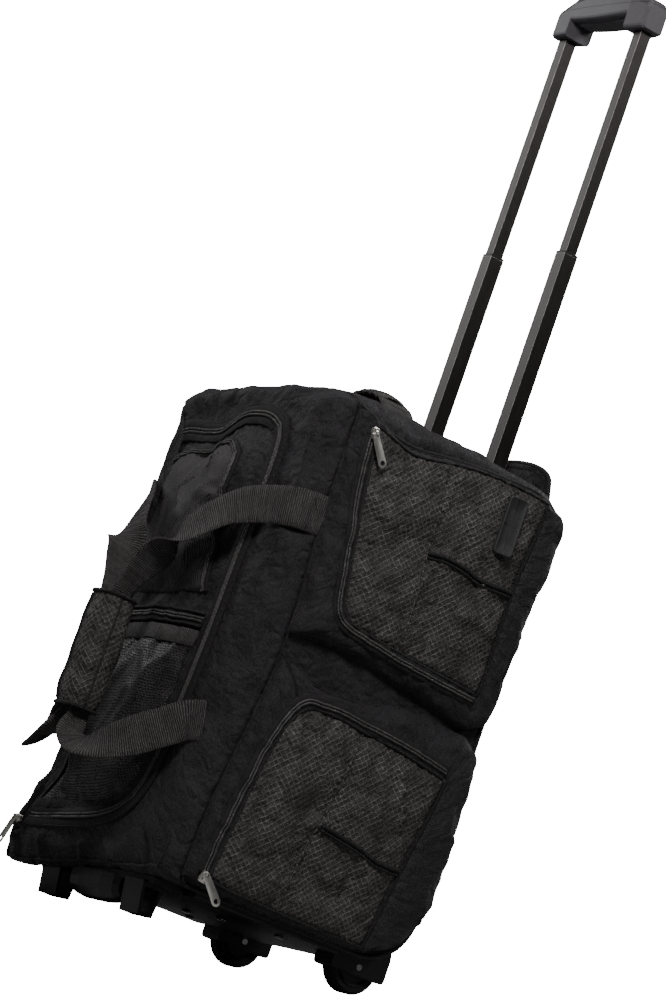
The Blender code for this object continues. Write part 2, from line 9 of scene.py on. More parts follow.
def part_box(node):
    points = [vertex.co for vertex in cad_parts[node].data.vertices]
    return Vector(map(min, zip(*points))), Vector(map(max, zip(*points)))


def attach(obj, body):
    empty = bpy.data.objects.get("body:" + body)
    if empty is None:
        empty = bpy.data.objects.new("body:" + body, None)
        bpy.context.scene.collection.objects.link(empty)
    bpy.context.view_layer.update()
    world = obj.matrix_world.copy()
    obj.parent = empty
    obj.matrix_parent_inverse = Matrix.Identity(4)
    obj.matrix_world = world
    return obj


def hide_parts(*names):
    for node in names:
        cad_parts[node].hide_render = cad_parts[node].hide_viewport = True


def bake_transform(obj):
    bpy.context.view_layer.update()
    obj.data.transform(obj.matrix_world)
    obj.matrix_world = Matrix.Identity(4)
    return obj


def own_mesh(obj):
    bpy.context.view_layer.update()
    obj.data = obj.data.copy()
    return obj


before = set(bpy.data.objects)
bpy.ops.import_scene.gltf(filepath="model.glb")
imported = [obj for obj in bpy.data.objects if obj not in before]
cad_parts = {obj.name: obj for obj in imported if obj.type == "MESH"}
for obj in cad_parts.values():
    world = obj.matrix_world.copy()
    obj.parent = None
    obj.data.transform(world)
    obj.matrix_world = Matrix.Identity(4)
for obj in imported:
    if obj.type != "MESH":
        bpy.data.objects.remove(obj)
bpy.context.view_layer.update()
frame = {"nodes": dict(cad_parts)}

# ---- places taken from the frame ----
shell_low, shell_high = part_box("main_shell")
HALF_X = shell_high.x
FRONT_Y = shell_low.y
BOTTOM_Z, TOP_Z = shell_low.z, shell_high.z
BACK_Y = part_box("back_cover")[1].y
BOTTOM_BACK_RADIUS = 0.05
ZIP_DEPTH_LEFT, ZIP_DEPTH_RIGHT = 0.004, 0.016  # how far the lid's zip stands before the front
PIPING_R = 0.0022
TO_EYE = Vector((0.8477, -0.5007, -0.1752))  # from the bag to the camera
EYE_RIGHT = Vector((0.5299, 0.7833, 0.325))
EYE_UP = Vector((-0.0254, -0.3683, 0.9294))
BAG_MIDDLE = (0.0, 0.04, 0.27)
EYE = Vector((3.358, -1.9618, -0.2503))
LENS = 148.67


# ---- camera, light and floor ----


def make_camera():
    camera = bpy.data.objects.new("camera", bpy.data.cameras.new("camera"))
    bpy.context.scene.collection.objects.link(camera)
    turn = Matrix((EYE_RIGHT, EYE_UP, TO_EYE)).transposed()
    camera.matrix_world = Matrix.Translation(EYE) @ turn.to_4x4()
    camera.data.lens = LENS
    camera.data.sensor_width = 36.0
    camera.data.clip_end = 50.0
    bpy.context.scene.camera = camera


def area_light(name, place, target, size, power):
    light = bpy.data.lights.new(name, "AREA")
    light.shape = "DISK"
    light.size = size
    light.energy = power
    lamp = bpy.data.objects.new(name, light)
    bpy.context.scene.collection.objects.link(lamp)
    lamp.location = place
    lamp.visible_camera = False
    lamp.rotation_mode = "QUATERNION"
    lamp.rotation_quaternion = (Vector(target) - Vector(place)).to_track_quat("-Z", "Y")


def make_lights():
    middle = (0.0, 0.02, 0.38)
    area_light("key", (1.02, -0.72, 1.3), (0.1, -0.02, 0.48), 0.35, 22)
    area_light("side", (1.9, 1.1, 1.8), middle, 0.5, 11)
    area_light("back", (-0.8, 2.6, 1.8), middle, 1.4, 26)
    area_light("left", (-2.4, -1.2, 1.6), middle, 1.2, 16)
    area_light("top", (0.1, 0.1, 2.4), middle, 0.6, 10)
    world = bpy.data.worlds.new("studio")
    world.use_nodes = True
    nodes, links = world.node_tree.nodes, world.node_tree.links
    background = nodes["Background"]
    background.inputs["Color"].default_value = (1.0, 1.0, 1.0, 1.0)
    background.inputs["Strength"].default_value = 0.06
    seen = nodes.new("ShaderNodeBackground")
    seen.inputs["Color"].default_value = (1.0, 1.0, 1.0, 1.0)
    seen.inputs["Strength"].default_value = 24.0
    path, mix = nodes.new("ShaderNodeLightPath"), nodes.new("ShaderNodeMixShader")
    links.new(path.outputs["Is Camera Ray"], mix.inputs["Fac"])
    links.new(background.outputs["Background"], mix.inputs[1])
    links.new(seen.outputs["Background"], mix.inputs[2])
    links.new(mix.outputs["Shader"], nodes["World Output"].inputs["Surface"])
    bpy.context.scene.world = world


def floor_material():
    """Pale matte floor that fades out at its rim and lets a view from below through. Seen by the camera it
    glows, and ambient occlusion dims that glow into a painted contact shadow under the bag.
    """
    look = Look("pale_floor", Base_Color=(0.4, 0.4, 0.4, 1.0), Roughness=0.9,
                Emission_Color=(1.0, 1.0, 1.0, 1.0))
    # Painted contact shadow: ambient occlusion darkens the floor's glow near the bag.
    shade = look.add("AmbientOcclusion", samples=8)
    shade.inputs["Distance"].default_value = 0.3
    lit = look.spread(shade.outputs["AO"], 0.25, 1.0, 0.9, 22.0)
    seen = look.math("MULTIPLY", lit, look.add("LightPath").outputs["Is Camera Ray"])
    look.feed(look.shader.inputs["Emission Strength"], seen)
    length = look.add("VectorMath", operation="LENGTH")
    look.feed(length.inputs[0], look.solid())
    fade = look.spread(length.outputs["Value"], 0.6, 1.9)
    clear = look.math("MAXIMUM", fade, look.add("NewGeometry").outputs["Backfacing"])
    mix = look.add("MixShader")
    look.feed(mix.inputs["Fac"], clear)
    look.feed(mix.inputs[1], look.shader.outputs["BSDF"])
    look.feed(mix.inputs[2], look.add("BsdfTransparent").outputs["BSDF"])
    look.feed(look.tree.nodes["Material Output"].inputs["Surface"], mix.outputs["Shader"])
    return look.material


def make_floor():
    mesh = bpy.data.meshes.new("floor")
    reach = 2.2
    corners = [(-reach, -reach, 0), (reach, -reach, 0), (reach, reach, 0), (-reach, reach, 0)]
    mesh.from_pydata(corners, [], [(0, 1, 2, 3)])
    mesh.materials.append(floor_material())
    floor = bpy.data.objects.new("floor", mesh)
    bpy.context.scene.collection.objects.link(floor)


# ---- numbers and surfaces ----


WAVE_COUNT = 7


def waves(points, size, seed):
    """Smooth random relief from about -1 to 1, with features of about that size in metres."""
    random = np.random.default_rng(seed)
    total = np.zeros(points.shape[:-1])
    for _ in range(WAVE_COUNT):
        direction = random.normal(size=3)
        direction /= np.linalg.norm(direction)
        pace = 2 * math.pi / size * random.uniform(0.6, 1.5)
        total += np.sin(points @ direction * pace + random.uniform(0, 2 * math.pi))
    return total / math.sqrt(WAVE_COUNT)


def creases(points, size, seed):
    """Relief with narrow ridges between broad hollows, from 0 to 1."""
    return (1 - np.abs(np.tanh(1.6 * waves(points, size, seed)))) ** 2


def ramp(value, low, high):
    t = np.clip((value - low) / (high - low), 0, 1)
    return t * t * (3 - 2 * t)


def unit(v):
    v = np.asarray(v, float)
    return v / np.maximum(np.linalg.norm(v, axis=-1, keepdims=True), 1e-12)


def spline(points, count):
    """Points evenly spaced along the smooth curve through the given points."""
    p = np.asarray(points, float)
    last = len(p) - 1
    fine = []
    for i in range(last):
        a, b, c, d = (p[min(max(i + k, 0), last)] for k in (-1, 0, 1, 2))
        for f in np.linspace(0, 1, 16, endpoint=False):
            fine.append(0.5 * (2 * b + (c - a) * f + (2 * a - 5 * b + 4 * c - d) * f * f
                               + (3 * b - a - 3 * c + d) * f ** 3))
    fine.append(p[-1])
    return resample(fine, count)


def resample(points, count):
    p = np.asarray(points, float)
    steps = np.linalg.norm(np.diff(p, axis=0), axis=1)
    along = np.concatenate([[0], np.cumsum(steps)])
    at = np.linspace(0, along[-1], count)
    return np.stack([np.interp(at, along, p[:, k]) for k in range(p.shape[1])], axis=1)


def resample_pair(path, normals, count):
    """A path and its normals, both evenly spaced."""
    fine = resample(np.concatenate([path, normals], axis=1), count)
    return fine[:, :3], unit(fine[:, 3:])


def path_length(points):
    return float(np.linalg.norm(np.diff(points, axis=0), axis=1).sum())


def tangents(path, closed=False):
    if closed:
        return unit(np.roll(path, -1, axis=0) - np.roll(path, 1, axis=0))
    return unit(np.gradient(path, axis=0))


def rounded_corners(corners, steps=10):
    """A closed outline of (u, v) points whose corners, given as (u, v, radius), are arcs."""
    outline = []
    for i, (u, v, radius) in enumerate(corners):
        here = np.array((u, v))
        if radius == 0:
            outline.append(here)
            continue
        before = unit(np.array(corners[i - 1][:2]) - here)
        after = unit(np.array(corners[(i + 1) % len(corners)][:2]) - here)
        half = math.acos(float(np.clip(before @ after, -1, 1))) / 2
        reach = radius / math.tan(half)
        centre = here + unit(before + after) * radius / math.sin(half)
        for k in range(steps + 1):
            t = k / steps
            spoke = unit((here + before * reach - centre) * (1 - t) + (here + after * reach - centre) * t)
            outline.append(centre + spoke * radius)
    return np.array(outline)


# ---- meshes ----


def new_piece(name, verts, faces, kind, uv=None, body="bag"):
    mesh = bpy.data.meshes.new(name)
    mesh.from_pydata([tuple(map(float, v)) for v in verts], [], faces)
    if uv is not None:
        layer = mesh.uv_layers.new(name="weave")
        loops = np.zeros(len(mesh.loops), int)
        mesh.loops.foreach_get("vertex_index", loops)
        layer.data.foreach_set("uv", np.asarray(uv, float)[loops].ravel())
    mesh.shade_smooth()
    mesh.validate()
    mesh.materials.append(MATERIALS[kind])
    piece = bpy.data.objects.new(name, mesh)
    bpy.context.scene.collection.objects.link(piece)
    if body:
        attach(piece, body)
    return piece


def grid_faces(rows, columns, closed=False, keep=None):
    faces = []
    for i in range(rows - 1):
        for j in range(columns if closed else columns - 1):
            k = (j + 1) % columns
            if keep is None or keep(i, j):
                faces.append((i * columns + j, i * columns + k, (i + 1) * columns + k,
                              (i + 1) * columns + j))
    return faces


def weighted(grid, normals, away, count, soft):
    """The average place and normal of a few grid points, the least far away counting most."""
    order = np.argpartition(away, count, axis=None)[:count]
    weight = 1 / (away.ravel()[order] + soft)
    weight = (weight / weight.sum())[:, None]
    return tuple((values.reshape(-1, 3)[order] * weight).sum(axis=0) for values in (grid, normals))


def grid_uv(points):
    """Texture coordinates in metres along the rows and columns of a grid."""
    across = np.linalg.norm(np.diff(points, axis=1), axis=2).mean(axis=0)
    up = np.linalg.norm(np.diff(points, axis=0), axis=2).mean(axis=1)
    u = np.concatenate([[0], np.cumsum(across)])
    v = np.concatenate([[0], np.cumsum(up)])
    return np.stack(np.meshgrid(u, v), axis=-1).reshape(-1, 2)


class Sheet:
    """A cloth panel kept as a grid of points, so trim can follow it once it is simulated."""

    def __init__(self, name, points, kind, body="bag", keep=None, closed=False, core=None):
        self.points = np.asarray(points, float)
        self.closed = closed
        self.flip = False  # read by normals() in the line that settles it
        core = np.array(BAG_MIDDLE if core is None else core)
        self.flip = bool((self.normals() * (self.points - core)).sum() < 0)
        rows, columns = self.points.shape[:2]
        faces = grid_faces(rows, columns, closed, keep)
        if self.flip:
            faces = [face[::-1] for face in faces]
        self.piece = new_piece(name, self.points.reshape(-1, 3), faces, kind, grid_uv(self.points), body)

    def write(self):
        self.piece.data.vertices.foreach_set("co", self.points.astype(np.float32).ravel())
        self.piece.data.update()

    def normals(self):
        across, up = np.gradient(self.points, axis=1), np.gradient(self.points, axis=0)
        if self.closed:
            across = np.roll(self.points, -1, axis=1) - np.roll(self.points, 1, axis=1)
        out = unit(np.cross(across, up))
        return -out if self.flip else out

    def thicken(self, depth=0.0012):
        solid = self.piece.modifiers.new("thickness", "SOLIDIFY")
        solid.thickness = depth
        solid.offset = -1.0
        return self


SIMULATED_FRAMES = 16


def simulate(jobs):
    """Cloth simulation of several sheets at once. A job is (sheet, held mask, settings)."""
    scene = bpy.context.scene
    ready = []
    for sheet, held, settings in jobs:
        piece = sheet.piece
        group = piece.vertex_groups.new(name="held")
        group.add(np.flatnonzero(np.asarray(held).ravel()).tolist(), 1.0, "REPLACE")
        cloth = piece.modifiers.new("cloth", "CLOTH")
        for key, value in dict(quality=6, mass=0.12, tension_stiffness=12, compression_stiffness=6,
                               shear_stiffness=4, bending_stiffness=0.25, air_damping=2,
                               shrink_min=-settings["slack"], vertex_group_mass="held",
                               use_pressure=True,
                               uniform_pressure_force=settings["pressure"]).items():
            setattr(cloth.settings, key, value)
        cloth.settings.effector_weights.gravity = settings.get("gravity", 0.0)
        cloth.collision_settings.use_collision = False
        cloth.point_cache.frame_start = 1
        cloth.point_cache.frame_end = SIMULATED_FRAMES
        ready.append((sheet, cloth, settings))
    for number in range(1, SIMULATED_FRAMES + 1):
        scene.frame_set(number)
    graph = bpy.context.evaluated_depsgraph_get()
    for sheet, cloth, settings in ready:
        data = sheet.piece.evaluated_get(graph).data
        flat = np.zeros(len(data.vertices) * 3, np.float32)
        data.vertices.foreach_get("co", flat)
        moved = flat.reshape(sheet.points.shape).astype(float)
        step = moved - sheet.points
        far = np.linalg.norm(step, axis=-1, keepdims=True)
        cap = settings["cap"]
        step *= cap * np.tanh(far / cap) / np.maximum(far, 1e-9)
        sheet.points = sheet.points + step
        sheet.piece.modifiers.remove(cloth)
        sheet.write()
    scene.frame_set(1)


def sweep(name, path, sides, ups, section, kind, body="bag", closed=False):
    """Carries a closed section of (side, up) points along a path."""
    path, sides, ups = (np.asarray(a, float) for a in (path, sides, ups))
    section = np.asarray(section, float)
    if section.ndim == 2:
        section = np.broadcast_to(section, (len(path), *section.shape))
    count = section.shape[1]
    verts = (path[:, None] + sides[:, None] * section[:, :, :1] + ups[:, None] * section[:, :, 1:])
    along = np.concatenate([[0], np.cumsum(np.linalg.norm(np.diff(path, axis=0), axis=1))])
    u = np.repeat(along[:, None], count, axis=1)
    uv = np.stack([u, section[:, :, 0]], axis=-1).reshape(-1, 2)
    faces = []
    rows = len(path)
    for i in range(rows if closed else rows - 1):
        n = (i + 1) % rows
        for j in range(count):
            k = (j + 1) % count
            faces.append((i * count + j, n * count + j, n * count + k, i * count + k))
    if not closed:
        faces.append(tuple(range(count)))
        faces.append(tuple(reversed(range((rows - 1) * count, rows * count))))
    return new_piece(name, verts.reshape(-1, 3), faces, kind, uv, body)


def frames_from(path, normals, closed=False):
    """Side and up directions along a path that lies on a surface with those normals."""
    ahead = tangents(path, closed)
    sides = unit(np.cross(ahead, normals))
    return sides, unit(np.cross(sides, ahead))


def strip_section(width, depth):
    """A flat strip's section, its top a little crowned, its back on the surface."""
    half, low, edge, crown = width / 2, -depth * 0.3, depth * 0.35, depth * 0.9
    return [(half, low), (half, edge), (half * 0.9, crown), (0, depth), (-half * 0.9, crown),
            (-half, edge), (-half, low)]


def ribbon(name, path, normals, lift, width, depth, kind="tape", body="bag"):
    """A flat strip laid along a path on a surface. Returns its up directions."""
    sides, ups = frames_from(path, normals)
    finish_slot(sweep(name, path + ups * lift, sides, ups, strip_section(width, depth), kind, body))
    return ups


def round_section(radius, sides=10):
    return [(radius * math.cos(a), radius * math.sin(a))
            for a in np.linspace(0, -2 * math.pi, sides, endpoint=False)]


def cord_along(name, path, normals, radius, kind, body="bag", closed=False, sink=0.3):
    sides, ups = frames_from(path, normals, closed)
    return sweep(name, path + ups * radius * (1 - 2 * sink) * 0.5, sides, ups,
                 round_section(radius), kind, body, closed)


def stamp(name, places, kind, body="bag"):
    """Many small beads. A place is (origin, x, y, z axes), with the axes' lengths as scale."""
    verts, faces = BEAD
    verts = np.asarray(verts, float)
    all_verts, all_faces = [], []
    for origin, x, y, z in places:
        base = len(all_verts) * len(verts)
        all_verts.append(origin + verts[:, :1] * x + verts[:, 1:2] * y + verts[:, 2:] * z)
        all_faces.extend(tuple(base + i for i in face) for face in faces)
    return new_piece(name, np.concatenate(all_verts), all_faces, kind, None, body)


def bead():
    """A small rounded bar along X, one unit across each way."""
    rings, around = 5, 6
    verts, faces = [], []
    for i in range(rings):
        t = -1 + 2 * i / (rings - 1)
        radius = math.sqrt(max(0.0, 1 - t ** 4)) * 0.5 if abs(t) < 1 else 0.16
        for j in range(around):
            a = 2 * math.pi * j / around
            verts.append((t * 0.5, radius * math.cos(a), radius * math.sin(a)))
    for i in range(rings - 1):
        for j in range(around):
            k = (j + 1) % around
            faces.append((i * around + j, i * around + k, (i + 1) * around + k, (i + 1) * around + j))
    faces.append(tuple(reversed(range(around))))
    faces.append(tuple(range((rings - 1) * around, rings * around)))
    return verts, faces


BEAD = bead()


def stitches(name, path, normals, body="bag", pitch=0.0034, length=0.0024, girth=0.0008,
             lift=0.0002):
    count = max(2, int(path_length(path) / pitch))
    path, normals = resample_pair(path, normals, count)
    sides, ups = frames_from(path, normals)
    ahead = tangents(path)
    places = [(path[i] + ups[i] * lift, ahead[i] * length, sides[i] * girth, ups[i] * girth)
              for i in range(count)]
    return stamp(name, places, "thread", body)


COIL_PITCH = 0.0017


def zip_chain(name, path, normals, body="bag", width=0.0058):
    """Coil zip: two rows of loops that mesh down the middle."""
    count = int(path_length(path) / COIL_PITCH * 4)
    path, normals = resample_pair(path, normals, count)
    sides, ups = frames_from(path, normals)
    ring = np.array(round_section(1.0, 8))
    for side in (-1, 1):
        swell = np.array((1.0, 0.86, 0.55, 0.86))[(np.arange(count) + 2 * (side > 0)) % 4]
        section = ring[None] * swell[:, None, None] * (width * 0.21, 0.0011)
        finish_slot(sweep(f"{name}_{'a' if side < 0 else 'b'}", path + sides * side * width * 0.24
                          + ups * 0.0012, sides, ups, section, "teeth", body))


# ---- materials ----


class Look:
    """A procedural material under construction."""

    def __init__(self, name, **constants):
        self.material = bpy.data.materials.new(name)
        self.material.use_nodes = True
        self.tree = self.material.node_tree
        self.shader = self.tree.nodes["Principled BSDF"]
        for key, value in constants.items():
            self.shader.inputs[key.replace("_", " ")].default_value = value

    def add(self, kind, **values):
        node = self.tree.nodes.new("ShaderNode" + kind)
        for key, value in values.items():
            setattr(node, key, value)
        return node

    def feed(self, socket, value):
        if hasattr(value, "is_linked"):
            self.tree.links.new(value, socket)
        else:
            socket.default_value = value

    def math(self, operation, *values):
        node = self.add("Math", operation=operation)
        for i, value in enumerate(values):
            self.feed(node.inputs[i], value)
        return node.outputs[0]

    def weave(self):
        """Coordinates in metres along the cloth's two directions."""
        node = self.add("UVMap", uv_map="weave")
        split = self.add("SeparateXYZ")
        self.feed(split.inputs[0], node.outputs[0])
        return node.outputs[0], split.outputs[0], split.outputs[1]

    def solid(self):
        return self.add("TexCoord").outputs["Object"]

    def noise(self, coords, size, detail=3.0, rough=0.55):
        node = self.add("TexNoise")
        self.feed(node.inputs["Vector"], coords)
        node.inputs["Scale"].default_value = 1 / size
        node.inputs["Detail"].default_value = detail
        node.inputs["Roughness"].default_value = rough
        return node.outputs["Fac"]

    def spread(self, value, low, high, start=0.0, end=1.0):
        node = self.add("MapRange", clamp=True)
        self.feed(node.inputs["Value"], value)
        for key, number in (("From Min", low), ("From Max", high), ("To Min", start), ("To Max", end)):
            node.inputs[key].default_value = number
        return node.outputs[0]

    def wave(self, along, pitch, shift=0.0):
        """From 0 to 1 and back once in each pitch."""
        angle = self.math("MULTIPLY_ADD", along, 2 * math.pi / pitch, shift)
        return self.math("MULTIPLY_ADD", self.math("SINE", angle), 0.5, 0.5)

    def colour(self, factor, low, high):
        node = self.add("Mix", data_type="RGBA")
        self.feed(node.inputs[0], factor)
        node.inputs[6].default_value = (*low, 1.0)
        node.inputs[7].default_value = (*high, 1.0)
        self.feed(self.shader.inputs["Base Color"], node.outputs[2])
        return self

    def rough(self, factor, low, high):
        self.feed(self.shader.inputs["Roughness"], self.spread(factor, 0, 1, low, high))
        return self

    def crumple(self, coords, size, depth):
        """Narrow folds that cross each other, as a bump."""
        first = self.math("ABSOLUTE", self.math("SUBTRACT", self.noise(coords, size, 2), 0.5))
        second = self.math("ABSOLUTE", self.math("SUBTRACT", self.noise(coords, size * 0.45, 2), 0.48))
        folds = self.math("MULTIPLY_ADD", self.spread(first, 0.0, 0.1), 0.65,
                          self.math("MULTIPLY", self.spread(second, 0.0, 0.12), 0.35))
        return self.bump(folds, depth, 0.7)

    def bump(self, height, distance, strength=1.0, under=None):
        node = self.add("Bump")
        node.inputs["Strength"].default_value = strength
        node.inputs["Distance"].default_value = distance
        self.feed(node.inputs["Height"], height)
        if under is not None:
            self.feed(node.inputs["Normal"], under)
        self.feed(self.shader.inputs["Normal"], node.outputs[0])
        return node.outputs[0]


def sheen(look, weight, tint):
    look.shader.inputs["Sheen Weight"].default_value = weight
    look.shader.inputs["Sheen Tint"].default_value = (*tint, 1.0)
    look.shader.inputs["Sheen Roughness"].default_value = 0.45
    return look


def woven(look, pitch):
    """A plain weave: threads that pass over and under each other."""
    vector, u, v = look.weave()
    cross = look.math("MULTIPLY", look.math("SINE", look.math("MULTIPLY", u, math.pi / pitch)),
                      look.math("SINE", look.math("MULTIPLY", v, math.pi / pitch)))
    warp = look.math("MULTIPLY", look.wave(u, pitch), look.math("GREATER_THAN", cross, 0.0))
    weft = look.math("MULTIPLY", look.wave(v, pitch), look.math("LESS_THAN", cross, 0.0))
    return vector, u, v, look.math("ADD", warp, weft)


def polyester(name="polyester_cloth", dark=(0.0012, 0.001, 0.0012), pale=(0.034, 0.031, 0.034)):
    look = sheen(Look(name, Specular_IOR_Level=0.22), 0.025, (0.8, 0.74, 0.82))
    vector, _, _, threads = woven(look, 0.001)
    fuzz = look.noise(vector, 0.0012, 2)
    # The fuzz grain's paler specks in the colour are painted thread sparkle, a painted highlight.
    grain = look.spread(fuzz, 0.34, 0.66)
    broad = look.spread(look.noise(vector, 0.035, 5), 0.3, 0.7)
    tone = look.math("MULTIPLY_ADD", threads, 0.22, look.math("MULTIPLY", grain, 0.46))
    tone = look.math("MULTIPLY_ADD", broad, 0.3, look.math("SUBTRACT", tone, 0.1))
    look.colour(tone, dark, pale).rough(grain, 0.72, 0.5)
    crushed = look.crumple(vector, 0.03, 0.0034)
    fine = look.bump(look.noise(vector, 0.009, 5, 0.6), 0.0014, 0.8, crushed)
    look.bump(look.math("MULTIPLY_ADD", grain, 0.8, threads), 0.0003, 0.9, fine)
    return look.material


def ripstop():
    """Fine cloth with a raised diamond grid whose lines carry a painted highlight, brightest where its thick
    threads cross.
    """
    look = sheen(Look("ripstop_cloth", Specular_IOR_Level=0.22), 0.02, (0.85, 0.78, 0.75))
    vector, u, v, threads = woven(look, 0.0008)
    pitch = 0.0046
    lines, knots = None, None
    for sign in (1, -1):
        along = look.math("MULTIPLY_ADD", v, float(sign), u)
        saw = look.math("PINGPONG", along, pitch * math.sqrt(2) / 2)
        line = look.spread(saw, 0.0, 0.0012, 1.0, 0.0)
        lines = line if lines is None else look.math("MAXIMUM", lines, line)
        knots = line if knots is None else look.math("MULTIPLY", knots, line)
    fuzz = look.spread(look.noise(vector, 0.0011, 2), 0.34, 0.66)
    broad = look.spread(look.noise(vector, 0.028, 4), 0.32, 0.68)
    broken = look.spread(look.noise(vector, 0.0024, 2), 0.38, 0.62, 0.3, 1.0)
    # Painted highlight on the grid lines and their crossings; broad noise dims it as painted fold shade.
    lit = look.math("MULTIPLY", look.math("MULTIPLY_ADD", knots, 0.45, look.math("MULTIPLY", lines, 0.6)),
                    look.math("MULTIPLY", broken, look.math("MULTIPLY_ADD", broad, 0.85, 0.15)))
    tone = look.math("MULTIPLY_ADD", fuzz, 0.12, look.math("MULTIPLY", threads, 0.05))
    tone = look.math("MULTIPLY_ADD", broad, 0.07, look.math("ADD", tone, lit))
    look.colour(tone, (0.001, 0.0008, 0.0008), (0.19, 0.174, 0.168)).rough(lines, 0.62, 0.38)
    crushed = look.crumple(vector, 0.034, 0.0036)
    ridges = look.bump(lines, 0.0006, 0.9, look.bump(look.noise(vector, 0.01, 4), 0.0013, 0.6, crushed))
    look.bump(threads, 0.00012, 0.5, ridges)
    return look.material


def rib_knit():
    """The fine mesh of the lid's upper pocket: vertical ribs with rows of small holes."""
    look = sheen(Look("rib_knit", Specular_IOR_Level=0.22), 0.03, (0.85, 0.8, 0.85))
    vector, u, v = look.weave()
    sway = look.math("MULTIPLY_ADD", look.wave(v, 0.0036), 0.0005, u)
    ribs = look.wave(sway, 0.0022)
    rungs = look.wave(v, 0.0018)
    holes = look.math("MULTIPLY", look.spread(ribs, 0.0, 0.4, 1.0, 0.0), look.spread(rungs, 0.3, 0.8))
    broad = look.noise(vector, 0.03, 3)
    tone = look.math("MULTIPLY_ADD", ribs, 0.5, look.math("MULTIPLY", broad, 0.35))
    tone = look.math("MULTIPLY", tone, look.math("SUBTRACT", 1.0, look.math("MULTIPLY", holes, 0.8)))
    look.colour(tone, (0.002, 0.0018, 0.002), (0.085, 0.078, 0.083)).rough(ribs, 0.8, 0.55)
    body = look.bump(look.noise(vector, 0.014, 3), 0.001, 0.5)
    look.bump(look.math("SUBTRACT", ribs, holes), 0.0006, 0.9, body)
    return look.material


def open_mesh():
    """The coarse netting of the lid's lower pocket."""
    look = sheen(Look("open_mesh", Specular_IOR_Level=0.18), 0.01, (0.85, 0.8, 0.8))
    vector, u, v = look.weave()
    drift = look.math("MULTIPLY", look.noise(vector, 0.006, 2), 0.0034)
    row = look.math("MULTIPLY_ADD", look.math("FLOOR", look.math("DIVIDE", v, 0.0028)), 0.0017,
                    look.math("ADD", u, drift))
    across, up = look.wave(row, 0.0034), look.wave(look.math("ADD", v, drift), 0.0028, -math.pi / 2)
    holes = look.spread(look.math("MULTIPLY", across, up), 0.22, 0.5)
    broad = look.noise(vector, 0.02, 4)
    # The threads' pale specks in the colour are painted highlights.
    threads = look.math("MULTIPLY_ADD", look.noise(vector, 0.0012, 1), 0.8,
                        look.math("MULTIPLY", broad, 0.6))
    tone = look.math("MULTIPLY", look.math("SUBTRACT", threads, 0.45), look.math("SUBTRACT", 1.0, holes))
    look.colour(tone, (0.0008, 0.0007, 0.0008), (0.12, 0.112, 0.115)).rough(holes, 0.45, 0.95)
    look.bump(look.math("SUBTRACT", 1.0, holes), 0.0009, 1.0, look.bump(broad, 0.002, 0.5))
    return look.material


def webbing(name="webbing_tape", pitch=0.002, dark=(0.001, 0.0008, 0.0008), pale=(0.105, 0.097, 0.095)):
    look = sheen(Look(name, Specular_IOR_Level=0.22), 0.02, (0.8, 0.78, 0.78))
    vector, u, v = look.weave()
    waver = look.math("MULTIPLY_ADD", look.noise(vector, 0.006, 2), pitch * 0.7, u)
    ribs = look.wave(waver, pitch)
    threads = look.wave(v, 0.0009)
    fuzz = look.spread(look.noise(vector, 0.0012, 2), 0.34, 0.66)
    tone = look.math("MULTIPLY", ribs, look.math("MULTIPLY_ADD", fuzz, 0.65, 0.15))
    broad = look.spread(look.noise(vector, 0.02, 3), 0.3, 0.7)
    tone = look.math("MULTIPLY_ADD", broad, 0.16, tone)
    look.colour(tone, dark, pale).rough(ribs, 0.75, 0.5)
    bent = look.bump(look.noise(vector, 0.016, 3), 0.0016, 0.6)
    look.bump(look.math("MULTIPLY_ADD", threads, 0.25, ribs), 0.0007, 1.0, bent)
    return look.material


def tape():
    """Narrow woven tape beside a zip: fine ribs along its length."""
    look = sheen(Look("zip_tape", Specular_IOR_Level=0.2), 0.02, (0.8, 0.8, 0.8))
    vector, u, v = look.weave()
    ribs = look.math("MULTIPLY", look.wave(u, 0.0011), look.wave(v, 0.0014))
    fuzz = look.noise(vector, 0.001, 2)
    tone = look.math("MULTIPLY_ADD", ribs, 0.5, look.math("MULTIPLY", fuzz, 0.4))
    look.colour(tone, (0.0015, 0.0012, 0.0015), (0.03, 0.027, 0.028)).rough(fuzz, 0.65, 0.85)
    look.bump(ribs, 0.0003, 0.8)
    return look.material


def moulded(name, dark, pale, rough_low, rough_high, grain=0.0009):
    """Moulded plastic or rubber: fine grain, handling marks and paler rubbed patches."""
    look = Look(name, Specular_IOR_Level=0.32)
    place = look.solid()
    pits, broad = look.noise(place, grain, 2), look.noise(place, 0.03, 5, 0.6)
    marks = look.spread(look.noise(place, 0.006, 6, 0.75), 0.56, 0.72)
    tone = look.math("MULTIPLY_ADD", pits, 0.25, look.math("MULTIPLY", broad, 0.6))
    look.colour(look.math("MULTIPLY_ADD", marks, 0.3, tone), dark, pale)
    look.rough(look.math("MULTIPLY_ADD", pits, 0.4, look.math("MULTIPLY", broad, 0.6)),
               rough_low, rough_high)
    look.bump(pits, 0.00012, 0.6)
    return look.material


def metal(name, dark, pale, rough_low, rough_high):
    """Plated or brushed metal with faint scratches."""
    look = Look(name, Metallic=1.0)
    brushed = look.noise(look.solid(), 0.0012, 4, 0.6)
    broad = look.noise(look.solid(), 0.008, 4, 0.6)
    look.colour(look.math("MULTIPLY_ADD", broad, 0.6, look.math("MULTIPLY", brushed, 0.4)), dark, pale)
    look.rough(look.math("MULTIPLY_ADD", brushed, 0.5, look.math("MULTIPLY", broad, 0.5)),
               rough_low, rough_high)
    look.bump(brushed, 0.00006, 0.5)
    return look.material


